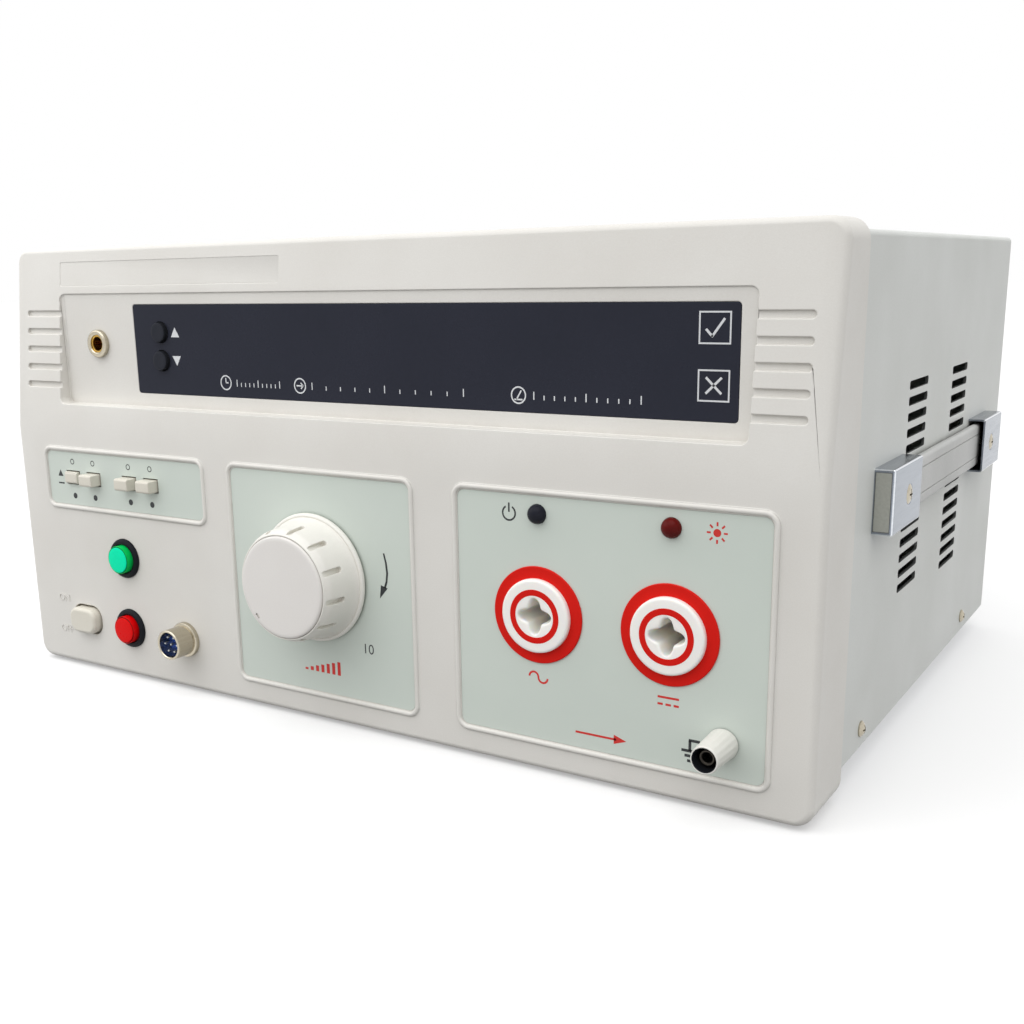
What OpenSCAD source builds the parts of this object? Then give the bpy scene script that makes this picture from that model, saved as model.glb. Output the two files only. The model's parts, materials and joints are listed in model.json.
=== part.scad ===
// Bench withstand-voltage (hipot) tester: moulded front bezel, bent sheet case,
// strap handles, front controls and outputs, and the working parts inside.
// Build axes: X to the right, Y from the panel crease towards the back, Z up from the bench.

/* [Bezel] */
// Width of the moulded front bezel
bezel_w = 430; // [420:1:450]
// Height of the moulded front bezel
bezel_h = 216; // [214:1:230]
// Depth of the bezel behind its crease line
bezel_depth = 33.5; // [32:0.5:40]
// Height of the crease above the bezel's lower edge
crease_h = 126; // [124:0.5:130]
// How far the top edge leans back from the crease
top_setback = 10; // [8:0.5:12]
// Wall of the moulding
bezel_wall = 3; // [2.5:0.1:3.5]
// Corner radius of the bezel seen from the front
bezel_corner_r = 8; // [6:0.5:10]
// Rounding of the bezel's front edges
bezel_edge_r = 3; // [2:0.5:4]
// Gap between the bezel's lower edge and the bench
bezel_lift = 1.5; // [1:0.5:4]

/* [Case] */
// How far the bezel stands proud of the case on each side
cover_inset = 1.5; // [1:0.5:3]
// How far the bezel stands above the case top
cover_drop = 4; // [3:0.5:6]
// Length of the case behind the bezel
cover_len = 274; // [260:1:300]
// Sheet thickness of the case
sheet_t = 1.2; // [1:0.1:2]
// Outside bend radius of the case sheet
bend_r = 2.4; // [2:0.1:4]
// Height of the rubber feet
foot_h = 12; // [10:0.5:16]
// Diameter of a rubber foot
foot_d = 22; // [18:1:28]
// Height of the chassis side flanges
flange_h = 18; // [16:1:24]

/* [Vents] */
// Length of a vent slot
slot_l = 31.5; // [26:0.5:36]
// Height of a vent slot
slot_h = 3.6; // [3:0.1:4.2]
// Spacing of the slot rows
slot_pitch = 6.6; // [6:0.1:7]
// Rows in the front column
front_rows = 14; // [10:1:15]
// Rows in the rear column
rear_rows = 15; // [10:1:16]

/* [Handles] */
// Length over both end caps
handle_l = 212; // [200:1:226]
// Length of an end cap
cap_l = 42; // [38:1:48]
// Height of an end cap
cap_h = 26; // [24:0.5:30]
// How far a cap stands out from the case
cap_out = 8; // [7.5:0.5:10]
// Sheet thickness of a cap
cap_t = 1.2; // [1:0.1:1.5]
// Height of the carrying strap
strap_h = 21; // [18:0.5:22]
// Thickness of the carrying strap
strap_t = 4; // [3:0.25:4.5]

/* [Display] */
// Width of the display recess
recess_w = 365.7; // [355:0.5:375]
// Height of the display recess
recess_h = 54.3; // [52:0.1:58]
// Depth of the recess floor behind the crease
floor_y = 8.5; // [7.5:0.1:9.5]
// Width of the smoked window
window_w = 307.6; // [300:0.5:315]
// Height of the smoked window
window_h = 42.3; // [40:0.1:45]
// Thickness of the smoked window
window_t = 1.5; // [1:0.1:2]
// Diameter of the two timer buttons
timer_button_d = 9.4; // [8:0.1:10]

/* [Panel frames] */
// Height of the two tall framed label plates
frame_h = 106.4; // [104:0.1:108]
// Width of the bead around a label plate
bead_w = 2.2; // [1.6:0.1:3]
// Width of the frame round the range buttons
switch_frame_w = 115.7; // [110:0.1:118]
// Height of the frame round the range buttons
switch_frame_h = 32.6; // [31:0.1:35]
// Width of the frame round the voltage knob
knob_frame_w = 107; // [103:0.1:110]
// Width of the frame round the high-voltage outputs
output_frame_w = 138.2; // [134:0.1:142]
// Thickness of a label plate
plate_t = 0.5; // [0.4:0.1:0.8]

/* [Knob] */
// Diameter of the knob's skirt
skirt_d = 59; // [56:0.5:64]
// Diameter of the knob's body at the front
knob_d = 50.5; // [46:0.5:53]
// How far the knob's face stands in front of the panel
knob_reach = 23; // [21:0.5:30]
// Finger grooves round the knob
knob_grooves = 12; // [8:1:16]
// Diameter of the regulator shaft
shaft_d = 8; // [6:0.5:10]

/* [Buttons] */
// Diameter of a round push button's collar
collar_d = 20.3; // [18:0.1:24]
// Diameter of a round push button's cap
press_d = 14.2; // [12:0.1:15]
// How far a round cap stands out of the panel
press_reach = 5.5; // [5:0.1:8]
// Width of a range button
range_w = 9.2; // [8:0.1:10.5]
// Height of a range button
range_h = 6; // [5:0.1:7]
// How far a released range button stands out
range_reach = 6; // [5.5:0.1:8]
// Depth that a range button latches in
range_travel = 4; // [3:0.1:4.5]
// Width of the mains button
power_w = 19.5; // [18:0.1:22]
// Height of the mains button
power_h = 13.4; // [12:0.1:15]
// How far the mains button stands out
power_reach = 4.5; // [4.2:0.1:6]

/* [Outputs] */
// Diameter of the red disc behind an output socket
disc_d = 40; // [36:0.5:44]
// Diameter of an output socket's flange
socket_d = 30.4; // [28:0.1:34]
// Diameter of an output socket's barrel
barrel_d = 26; // [24:0.1:27]
// Mean radius of the four-lobed plug opening
lobe_r = 5.7; // [5.2:0.1:6]
// Height of the lobes about that radius
lobe_rise = 1.5; // [1:0.1:1.8]
// Diameter of an indicator lens
lamp_d = 8; // [6:0.1:10]
// Diameter of the earth post at the panel
post_d = 12.4; // [12:0.1:14]
// How far the earth post stands out
post_reach = 18.4; // [16:0.1:22]
// Bore of the earth post's plug socket
post_bore_d = 4; // [3.8:0.05:4.2]

/* [Signal sockets] */
// Outside diameter of the remote socket's shell
remote_d = 15; // [14:0.1:16]
// How far the remote socket stands out
remote_reach = 12.5; // [11:0.1:16]
// Outside diameter of the small jack's ring
jack_d = 13.6; // [12:0.1:15]
// Bore of the small jack
jack_bore_d = 6.4; // [6:0.1:7]

/* [Hidden] */
$fn = 64;
hull_fn = 32;
cut = 2;                // overrun of a cutting tool
gap = 0.3;              // clearance round a piece that moves or drops in
snug = 0.05;            // clearance round a piece that is pushed in

// Heights and depths that follow from the driving sizes
cover_w = bezel_w - 2 * cover_inset;
cover_top = bezel_lift + bezel_h - cover_drop;
cover_y = bezel_depth + gap;
rear_y = cover_y + cover_len;
chassis_z = foot_h + sheet_t;
inner_x = cover_w / 2 - sheet_t;
inner_z = cover_top - sheet_t;
lean = atan(top_setback / (bezel_h - crease_h));
wall_y = bezel_wall;                    // inside face of the lower front wall
floor_back = floor_y + bezel_wall;      // inside face of the recess floor
boss_y = bezel_depth - 3;               // end face of the fixing bosses
pocket_d = plate_t + 0.1;               // depth of a label plate's pocket
plate_y = pocket_d - plate_t;           // front face of a label plate

// Places on the panel, each [x, height above the bezel's lower edge]
frame_top = crease_h - 8.7;
frame_mid = frame_top - frame_h / 2;
// The left-hand group hangs from the left edge and the outputs from the right edge
left_in = 77.25;                        // middle of the switch frame from the left edge
right_in = 85.1;                        // middle of the output frame from the right edge
switch_frame = [left_in - bezel_w / 2, frame_top - switch_frame_h / 2];
knob_frame = [-12.2, frame_mid];
output_frame = [bezel_w / 2 - right_in, frame_mid];
knob_at = [knob_frame[0] - 2.8, frame_mid + 3.9];
socket_z = frame_mid + 2.2;
socket_offset = [-28.9, 27.9];          // sockets either side of the output frame's middle
socket_x = [for (s = socket_offset) output_frame[0] + s];
lamp_z = frame_top - 9.9;
post_at = [output_frame[0] + 50.2, frame_mid - 36.8];
start_at = [switch_frame[0] - 2.45, frame_mid - 1.5];
reset_at = [start_at[0], frame_mid - 38.3];
power_at = [switch_frame[0] - 35.8, frame_mid - 38.3];
remote_at = [switch_frame[0] + 37.25, frame_mid - 38.3];
range_offset = [-36.35, -20.95, 5.25, 20.55];
range_x = [for (s = range_offset) switch_frame[0] + s];
range_z = frame_top - 15.7;
recess_share = 0.4472;                  // middle of the recess, as a share of the leaning face
recess_at = [2.25, crease_h + recess_share * (bezel_h - crease_h)];
window_at = [24.9, recess_at[1] + 0.7];
jack_at = [-154.6, recess_at[1] + 3];
timer_x = -111;
timer_z = [window_at[1] + 8.2, window_at[1] - 5.2];
label_recess = [145.6, 11.6];
label_at = [-107.3, bezel_h - crease_h - 12.2];
groove_rows = 5;
groove_pitch = 8.85;
groove_h = 2.8;
groove_end = bezel_w / 2 - 9.3;

// Fixing bosses behind the bezel
boss_d = 9;
boss_x = bezel_w / 2 - 19;
boss_z = [26, 110, bezel_h - 18];
screw_d = 3;
upright_w = 13;

// Handle layout
handle_mid_y = cover_y + cover_len / 2 - 2.8;
handle_z = (foot_h + cover_top) / 2;
cap_screw_in = 23.5;                    // cap screw from the cap's outer end
cap_screw_d = 4;
cap_screw_grip = 8;                     // thread that reaches behind the case side
strap_gap = 0.8;                        // strap's distance from the case side
strap_start = 6;                        // how far the strap reaches into a cap
strap_x = cover_w / 2 + strap_gap;
strap_half = handle_l / 2 - cap_l + strap_start;

// Inside layout
board_t = 1.6;
bracket_y = bezel_depth + 8;
bracket_t = 3;
winding_od = 104;
winding_id = 50;
winding_l = 40;
winding_y = bracket_y + bracket_t;
arm_y = winding_y + winding_l + gap;
arm_t = 6;
core_w = 120;
core_h = 100;
core_d = 50;
core_in = [85.5, 165];                  // transformer's middle from the right-hand wall and the case's front
core_at = [cover_w / 2 - core_in[0], cover_y + core_in[1]];
lead_d = 4;
lead_r = 8;
lead_drop = 4.6;                        // straight end of a lead above its terminal post
terminal_d = 12;
terminal_h = 12;
terminal_top = bezel_lift + socket_z - lead_r - lead_drop;
rectifier_size = [84, 44, terminal_top - terminal_h - chassis_z];
rectifier_in = 82;                      // rectifier's middle behind the case's front
rectifier_at = [(socket_x[0] + socket_x[1]) / 2, cover_y + rectifier_in];
control_size = [150, 120];
control_in = [98.5, 190];               // board's middle from the left-hand wall and the case's front
control_at = [control_in[0] - cover_w / 2, cover_y + control_in[1]];
standoff_h = 9;
standoff_d = 7;
relay_size = [20, 16, 18];
relay_pitch = 26;
relay_y = -42;
chip_size = [24, 10, 4];
chip_pitch = 36;
can_d = 14;
can_h = 25;
can_pitch = 20;
can_y = 36;
buzzer_d = 23;
buzzer_h = 10;
supply_size = [32, 36, 32];
supply_at = [52, 32];
standoff_in = 6;                        // standoffs' distance from the board's edges
display_board_y = floor_back + 9;
post_rear = 16;
stud_reach = 14;

// The part's middle, so that its origin lies under the middle of its box
front_reach = knob_reach;
mid_y = (rear_y + stud_reach - front_reach) / 2;

// Shared shapes

// Moves build coordinates to the part's own frame
module part_frame() translate([0, -mid_y, 0]) children();

// Puts a shape at a place on the panel
module on_panel(p) translate([p[0], 0, bezel_lift + p[1]]) children();

// Tilts a shape drawn against the plane y = 0 onto the leaning upper panel
module on_upper() translate([0, 0, bezel_lift + crease_h]) rotate([-lean, 0, 0]) children();

// Prism along Y of an outline drawn in X and Z
module along_y(y0, y1) translate([0, y1, 0]) rotate([90, 0, 0]) linear_extrude(y1 - y0) children();

// Prism along X of an outline drawn in Y and Z
module along_x(x0, x1) translate([x0, 0, 0]) rotate([90, 0, 90]) linear_extrude(x1 - x0) children();

// Round bars along each axis
module rod_x(d, x0, x1) translate([x0, 0, 0]) rotate([0, 90, 0]) cylinder(d = d, h = x1 - x0);
module rod_y(d, y0, y1) translate([0, y0, 0]) rotate([-90, 0, 0]) cylinder(d = d, h = y1 - y0);
module rod_z(d, z0, z1) translate([0, 0, z0]) cylinder(d = d, h = z1 - z0);

// Round bar along Y that changes diameter from d0 to d1
module cone_y(d0, d1, y0, y1)
  translate([0, y0, 0]) rotate([-90, 0, 0]) cylinder(d1 = d0, d2 = d1, h = y1 - y0);

// Block between two corners
module block(lo, hi) translate(lo) cube(hi - lo);

// Rectangle with round corners, centred
module rounded_rect(w, h, r) {
  square([w - 2 * r, h], center = true);
  square([w, h - 2 * r], center = true);
  for (sx = [-1, 1], sz = [-1, 1])
    translate([sx * (w / 2 - r), sz * (h / 2 - r)]) circle(r);
}

// Hexagonal nut along Y with a round hole
module hex_nut(across, bore, y0, y1) difference() {
  translate([0, y0, 0]) rotate([-90, 0, 0]) cylinder(d = across / cos(30), h = y1 - y0, $fn = 6);
  rod_y(bore, y0 - cut, y1 + cut);
}

// Left and right copies of a shape drawn on the right-hand side
module both_sides() {
  children();
  mirror([1, 0, 0]) children();
}

// Front bezel

// Outside of the moulding, with its leaning upper face and rounded front edges
module bezel_blank() translate([0, 0, bezel_lift]) hull() {
  along_y(bezel_depth - 1, bezel_depth)
    translate([0, bezel_h / 2]) rounded_rect(bezel_w, bezel_h, bezel_corner_r, $fn = hull_fn);
  for (sx = [-1, 1]) {
    for (p = [[0, bezel_corner_r], [top_setback, bezel_h - bezel_corner_r]])
      translate([sx * (bezel_w / 2 - bezel_corner_r), p[0] + bezel_edge_r, p[1]])
        rotate([90, 0, 0])
          rotate_extrude($fn = hull_fn)
            translate([bezel_corner_r - bezel_edge_r, 0]) circle(bezel_edge_r, $fn = hull_fn);
    translate([sx * (bezel_w / 2 - bezel_edge_r), bezel_edge_r, crease_h])
      sphere(bezel_edge_r, $fn = hull_fn);
  }
}

// Hollow behind the front wall; it steps back behind the display recess
module bezel_cavity() translate([0, 0, bezel_lift]) intersection() {
  along_x(-bezel_w / 2, bezel_w / 2) polygon([
    [wall_y, bezel_wall],
    [wall_y, crease_h + 1],
    [floor_back, crease_h + 7],
    [floor_back, recess_at[1] + recess_h / 2 + 2],
    [max(floor_back, top_setback + bezel_wall), bezel_h - bezel_wall],
    [bezel_depth + cut, bezel_h - bezel_wall],
    [bezel_depth + cut, bezel_wall]
  ]);
  along_y(0, bezel_depth + cut) translate([0, bezel_h / 2])
    rounded_rect(bezel_w - 2 * bezel_wall, bezel_h - 2 * bezel_wall, bezel_corner_r - bezel_wall);
}

// Half-round bead that frames a label plate
module bead_frame(w, h, r) {
  x = w / 2 - bead_w / 2;
  z = h / 2 - bead_w / 2;
  for (s = [-1, 1]) {
    translate([0, 0, s * z]) rod_x(bead_w, r - x, x - r);
    translate([s * x, 0, 0]) rod_z(bead_w, r - z, z - r);
  }
  for (i = [0:3])
    translate([(i == 0 || i == 3 ? 1 : -1) * (x - r), 0, (i < 2 ? 1 : -1) * (z - r)])
      rotate([90, 0, 0]) rotate([0, 0, i * 90])
        rotate_extrude(angle = 90) translate([r, 0]) circle(d = bead_w);
}

// Depth of the panel's outer face at a height above the bezel's lower edge
function face_y(z) = max(0, z + boss_d / 2 - crease_h) * tan(lean);

frame_r = 4.8;
bead_land = 0.4;        // flat strip between a bead and the pocket inside it
function frames() = [
  [switch_frame, switch_frame_w, switch_frame_h],
  [knob_frame, knob_frame_w, frame_h],
  [output_frame, output_frame_w, frame_h]
];

// Outline of a label plate, shrunk by the given clearance
module plate_outline(f, clear) {
  edge = bead_w + bead_land + clear;
  rounded_rect(f[1] - 2 * edge, f[2] - 2 * edge, frame_r - bead_w / 2 - bead_land);
}

// Outline of the mains button, grown by the given clearance
power_corner_r = 5.5;
power_gap = 1;          // clearance round the mains button
module power_outline(grow) rounded_rect(power_w + 2 * grow, power_h + 2 * grow, power_corner_r + grow);

// Every opening through the lower front wall, grown past both faces
module panel_holes(y0, y1) {
  for (x = socket_x) on_panel([x, socket_z]) rod_y(barrel_d + 2 * gap, y0, y1);
  for (x = socket_x) on_panel([x, lamp_z]) rod_y(lamp_d + 2 * snug, y0, y1);
  on_panel(post_at) rod_y(post_stud_d + 2 * snug, y0, y1);
  on_panel(knob_at) rod_y(shaft_d + 4, y0, y1);
  for (p = [start_at, reset_at]) on_panel(p) rod_y(press_barrel_d + 2 * snug, y0, y1);
  on_panel(remote_at) rod_y(remote_d + 2 * snug, y0, y1);
  on_panel(power_at) along_y(y0, y1) power_outline(power_gap);
  for (x = range_x) on_panel([x, range_z])
    along_y(y0, y1) square([range_w + 4 * gap, range_h + 4 * gap], center = true);
}

module front_bezel() color([0.87, 0.86, 0.82]) difference() {
  union() {
    difference() {
      bezel_blank();
      bezel_cavity();
    }
    for (f = frames()) on_panel(f[0]) bead_frame(f[1], f[2], frame_r);
    for (sx = [-1, 1], z = boss_z) on_panel([sx * boss_x, z]) rod_y(boss_d, face_y(z) + wall_y - 1, boss_y);
    for (x = bank_x) on_panel([x, range_z]) rod_y(bank_boss_d, wall_y - 1, bank_y);
    for (x = display_boss_x, s = [-1, 1]) on_panel([x, window_at[1] + s * display_boss_z])
      rod_y(bank_boss_d, floor_back - 1, display_board_y);
  }
  // display recess, window seat and the opening behind the window
  on_panel(recess_at) along_y(-cut, floor_y) rounded_rect(recess_w, recess_h, 3);
  on_panel(window_at) along_y(floor_y - cut, floor_y + window_t)
    rounded_rect(window_w + 2 * snug, window_h + 2 * snug, 1.5);
  on_panel(window_at) along_y(floor_y, floor_back + cut)
    rounded_rect(window_w - 2 * window_ledge, window_h - 2 * window_ledge, 1.5);
  // shallow pocket for a label above the display, and the grip grooves beside it
  on_upper() translate([label_at[0], 0, label_at[1]])
    along_y(-cut, 0.5) rounded_rect(label_recess[0], label_recess[1], 1);
  for (i = [0:groove_rows - 1]) {
    z = (recess_at[1] - crease_h + (i - (groove_rows - 1) / 2) * groove_pitch) / cos(lean);
    on_upper() for (s = [-1, 1]) {
      inner = recess_at[0] + s * (recess_w / 2 - 2);
      translate([(s * groove_end + inner) / 2, 0, z])
        along_y(-cut, 1.5) rounded_rect(groove_end - s * inner, groove_h, groove_h / 2 - 0.01);
    }
  }
  // pockets for the label plates and every control's opening
  for (f = frames()) on_panel(f[0]) along_y(-cut, pocket_d) plate_outline(f, 0);
  panel_holes(-cut, wall_y + cut);
  on_panel(jack_at) rod_y(jack_stud_d + 2 * snug, floor_y - cut, floor_back + cut);
  for (sx = [-1, 1], z = boss_z) on_panel([sx * boss_x, z]) rod_y(screw_d, boss_y - 12, boss_y + cut);
}

// Display

window_ledge = 4;
display_boss_x = [window_at[0] - window_w / 2 + 1, window_at[0] + window_w / 2 - 1];
display_boss_z = window_h / 2 + 1.2;

module display_window() color([0.16, 0.17, 0.21]) difference() {
  on_panel(window_at) along_y(floor_y, floor_y + window_t) rounded_rect(window_w, window_h, 1.5);
  for (z = timer_z) on_panel([timer_x, z])
    rod_y(timer_button_d + 2 * gap, floor_y - cut, floor_y + window_t + cut);
}

timer_reach = 2.2;
timer_travel = 1.2;

// Round timer button with a shoulder behind the window and a stem to its switch
module timer_button(z) on_panel([timer_x, z]) {
  rod_y(timer_button_d, floor_y - timer_reach, floor_y + window_t + gap);
  rod_y(timer_button_d + 2, floor_y + window_t + gap, floor_y + window_t + gap + 1);
  rod_y(3.6, floor_y + window_t + gap, display_board_y - 3.5);
}

module timer_up_button() color([0.07, 0.07, 0.08]) timer_button(timer_z[0]);
module timer_down_button() color([0.07, 0.07, 0.08]) timer_button(timer_z[1]);

// Display circuit board with its digit modules and the two timer switches
module display_board() {
  color([0.1, 0.35, 0.2]) on_panel(window_at)
    along_y(display_board_y, display_board_y + board_t)
      rounded_rect(window_w + 8, window_h + 10, 1);
  color([0.1, 0.1, 0.1]) for (d = [[-60, 26], [25, 50], [105, 50]])
    on_panel([window_at[0] + d[0], window_at[1] + 2])
      along_y(floor_back - 0.5, display_board_y) square([d[1], 19], center = true);
  color([0.2, 0.2, 0.2]) for (z = timer_z) on_panel([timer_x, z])
    along_y(display_board_y - 3.5 + timer_travel + gap, display_board_y) square([7, 7], center = true);
}

// Small jack in the display recess

jack_stud_d = 9;
jack_ring_t = 2.6;
jack_depth = 16;

module jack_ring() color([0.86, 0.85, 0.8]) on_panel(jack_at) difference() {
  union() {
    cone_y(jack_d - 1.6, jack_d, floor_y - jack_ring_t, floor_y - jack_ring_t + 0.8);
    rod_y(jack_d, floor_y - jack_ring_t + 0.8, floor_y);
    rod_y(jack_stud_d, floor_y - 1, floor_back + 5);
  }
  rod_y(jack_bore_d + 1.4, floor_y - jack_ring_t - cut, floor_back + 5 + cut);
}

module jack_sleeve() color([0.72, 0.56, 0.24]) on_panel(jack_at) difference() {
  rod_y(jack_bore_d + 1.4 - 2 * snug, floor_y - 1, floor_y - 1 + jack_depth);
  rod_y(jack_bore_d, floor_y - 1 - cut, floor_y - 2 + jack_depth);
}

// Label plates

module label_plate(f) difference() {
  on_panel(f[0]) along_y(plate_y, pocket_d) plate_outline(f, 2 * snug);
  panel_holes(plate_y - cut, pocket_d + cut);
}

module switch_label_plate() color([0.8, 0.85, 0.82]) label_plate(frames()[0]);
module knob_label_plate() color([0.8, 0.85, 0.82]) label_plate(frames()[1]);
module output_label_plate() color([0.8, 0.85, 0.82]) label_plate(frames()[2]);

// Latching range buttons and their switch bank

bank_y = 13;
bank_x = [range_x[0] - 9, range_x[3] + 9];
bank_boss_d = 6;
bank_depth = 20;
stem_w = 4;

// Square key cap on a square stem; a pressed one sits deeper
module range_button(i, pressed) on_panel([range_x[i], range_z]) translate([0, pressed, 0]) {
  difference() {
    along_y(-range_reach, wall_y) square([range_w, range_h], center = true);
    // eased front edges
    for (s = [-1, 1]) translate([0, -range_reach, s * range_h / 2])
      rotate([45, 0, 0]) cube([range_w + cut, 1, 1], center = true);
  }
  along_y(wall_y, bank_y + bank_depth - range_travel - 4) square(stem_w, center = true);
}

module range_button_1() color([0.9, 0.88, 0.83]) range_button(0, range_travel);
module range_button_2() color([0.9, 0.88, 0.83]) range_button(1, 0);
module range_button_3() color([0.9, 0.88, 0.83]) range_button(2, 0);
module range_button_4() color([0.9, 0.88, 0.83]) range_button(3, 0);

module range_switch_bank() color([0.25, 0.25, 0.27]) difference() {
  on_panel([(bank_x[0] + bank_x[1]) / 2, range_z])
    along_y(bank_y, bank_y + bank_depth) square([bank_x[1] - bank_x[0] + bank_boss_d, 13], center = true);
  for (x = range_x) on_panel([x, range_z])
    along_y(bank_y - cut, bank_y + bank_depth - 3) square(stem_w + 2 * gap, center = true);
}

// Round push buttons

press_barrel_d = 15.8;
press_travel = 3;
collar_t = 2;
press_stem_d = 5;
press_floor_y = 9;

module press_cap(p) on_panel(p) {
  cone_y(press_d - 1, press_d, -press_reach, -press_reach + 0.5);
  rod_y(press_d, -press_reach + 0.5, press_floor_y - press_travel - 1);
  rod_y(press_stem_d, 0, press_floor_y + 7);
}

// Black collar with its threaded barrel behind the panel
module press_collar(p) on_panel(p) difference() {
  union() {
    cone_y(collar_d - 2.4, collar_d, -collar_t, -0.6);
    rod_y(collar_d, -0.6, 0);
    rod_y(press_barrel_d, -0.6, press_floor_y + 14);
  }
  rod_y(press_d + 2 * gap, -collar_t - cut, press_floor_y);
  rod_y(press_stem_d + 2 * gap, 0, press_floor_y + 12);
}

module start_button() color([0.05, 0.72, 0.42]) press_cap(start_at);
module reset_button() color([0.82, 0.06, 0.08]) press_cap(reset_at);
module button_collars() color([0.1, 0.1, 0.11]) {
  press_collar(start_at);
  press_collar(reset_at);
}

// Mains button and switch

power_travel = 4;
switch_y = 13;

module power_button() color([0.86, 0.85, 0.81]) on_panel(power_at) {
  along_y(-power_reach, switch_y - power_travel - 1) power_outline(0);
  along_y(0, switch_y + 9) square(stem_w, center = true);
}

// Switch body held on two legs that reach the front wall
module power_switch() color([0.2, 0.2, 0.22]) on_panel(power_at) {
  difference() {
    along_y(switch_y, switch_y + 17) square([power_w + 9, power_h + 5], center = true);
    along_y(switch_y - cut, switch_y + 9 + power_travel + 1) square(stem_w + 2 * gap, center = true);
  }
  for (s = [-1, 1]) translate([s * (power_w / 2 + 3), 0, 0])
    along_y(wall_y, switch_y) square([3, power_h], center = true);
}

// Remote-control socket

remote_flange = [17.6, 2.2];
remote_bore_d = remote_d - 2.6;
remote_face_y = -6;
remote_pin_tip = -8;

module remote_shell() color([0.74, 0.72, 0.66]) on_panel(remote_at) difference() {
  union() {
    cone_y(remote_d - 0.8, remote_d, -remote_reach, -remote_reach + 0.4);
    rod_y(remote_d, -remote_reach + 0.4, wall_y + 9);
    cone_y(remote_flange[0] - 1.6, remote_flange[0], -remote_flange[1], -remote_flange[1] + 0.8);
    rod_y(remote_flange[0], -remote_flange[1] + 0.8, 0);
  }
  rod_y(remote_bore_d, -remote_reach - cut, wall_y + 9 + cut);
}

module remote_insert() color([0.08, 0.16, 0.42]) on_panel(remote_at) difference() {
  rod_y(remote_bore_d - 2 * snug, remote_face_y, wall_y + 8);
  remote_pin_places() rod_y(remote_pin_d + 2 * snug, remote_face_y - cut, wall_y + 8 + cut);
}

remote_pin_d = 1.3;
module remote_pin_places() {
  children();
  for (a = [0:60:300]) rotate([0, a, 0]) translate([4, 0, 0]) children();
}

module remote_pins() color([0.82, 0.8, 0.76]) on_panel(remote_at)
  remote_pin_places() rod_y(remote_pin_d, remote_pin_tip, wall_y + 12);

// Voltage knob and regulator

knob_gap = 0.6;
knob_cap_d = knob_d - 4.5;
knob_cap_t = 2;
knob_rim = 1;
knob_chamfer = [1.5, 3.4];              // width and depth of the slope round the knob's face
knob_groove_w = 2.4;
knob_groove_d = 1.6;
knob_groove_y = [3, 11.4];              // ends of a finger groove behind the knob's face
knob_groove_turn = 10;                  // first groove from the knob's top, in degrees
notch_size = [1.2, 3.1];                // pry notch across and along the face disc's edge
notch_in = 1.1;                         // its middle from that edge

knob_back = plate_y - knob_gap;         // back face of the skirt
knob_front = knob_rim - knob_reach;     // front edge of the knob's body
knob_slope_end = knob_front + knob_chamfer[1];

module voltage_knob() color([0.88, 0.87, 0.82]) on_panel(knob_at) difference() {
  union() {
    rod_y(skirt_d, knob_back - 1.2, knob_back);
    cone_y(knob_d + 4, skirt_d, knob_back - 4, knob_back - 1.2);
    cone_y(knob_d, knob_d + 2.5, knob_slope_end, knob_back - 4);
    cone_y(knob_d - 2 * knob_chamfer[0], knob_d, knob_front, knob_slope_end);
  }
  rod_y(knob_cap_d + 2 * snug, -knob_reach, -knob_reach + knob_cap_t);
  rod_y(shaft_d + 2 * snug, -knob_reach + 8, cut);
  for (i = [0:knob_grooves - 1]) rotate([0, knob_groove_turn + i * 360 / knob_grooves, 0])
    translate([0, 0, knob_d / 2 + 0.6]) {
      block([-knob_groove_w / 2, knob_groove_y[0] - knob_reach, -knob_groove_d],
        [knob_groove_w / 2, knob_groove_y[1] - knob_reach, cut]);
      for (y = knob_groove_y) translate([0, y - knob_reach, 0]) rod_z(knob_groove_w, -knob_groove_d, cut);
    }
}

// Face disc with a small pry notch along its edge
module knob_cap() color([0.87, 0.86, 0.83]) on_panel(knob_at) difference() {
  union() {
    rod_y(knob_cap_d, -knob_reach + 0.5, -knob_reach + knob_cap_t);
    cone_y(knob_cap_d - 1.4, knob_cap_d, -knob_reach, -knob_reach + 0.5);
  }
  rotate([0, -45, 0]) translate([notch_in - knob_cap_d / 2, 0, 0])
    block([-notch_size[0] / 2, -knob_reach - cut, -notch_size[1] / 2],
      [notch_size[0] / 2, -knob_reach + 0.7, notch_size[1] / 2]);
}

module regulator_shaft() color([0.7, 0.7, 0.7]) on_panel(knob_at)
  rod_y(shaft_d, -knob_reach + 8 + snug, arm_y + arm_t + 4);

// Arm that carries the brush over the end face of the winding
module regulator_arm() color([0.75, 0.6, 0.3]) on_panel(knob_at) difference() {
  union() {
    rod_y(22, arm_y + 1, arm_y + arm_t);
    block([-winding_od / 2 + 8, arm_y + 2, -5], [0, arm_y + arm_t, 5]);
    block([-winding_od / 2 + 10, arm_y, -4], [-winding_od / 2 + 22, arm_y + arm_t, 4]);
  }
  rod_y(shaft_d + 2 * snug, arm_y - cut, arm_y + arm_t + cut);
}

module regulator_winding() color([0.72, 0.45, 0.25]) on_panel(knob_at) difference() {
  rod_y(winding_od, winding_y, winding_y + winding_l);
  rod_y(winding_id, winding_y - cut, winding_y + winding_l + cut);
}

// Upright bracket that carries the regulator from the chassis floor
module regulator_bracket() color([0.72, 0.73, 0.74]) {
  top = bezel_lift + knob_at[1] + winding_od / 2 + 2;
  difference() {
    block([knob_at[0] - winding_od / 2, bracket_y, chassis_z],
      [knob_at[0] + winding_od / 2, bracket_y + bracket_t, top]);
    on_panel(knob_at) rod_y(shaft_d + 2 * snug, bracket_y - cut, bracket_y + bracket_t + cut);
  }
  for (s = [-1, 1]) translate([knob_at[0] + s * (winding_od / 2 - 8), 0, 0])
    block([-8, bracket_y, chassis_z], [8, bracket_y + 40, chassis_z + bracket_t]);
}

// Indicator lenses

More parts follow.
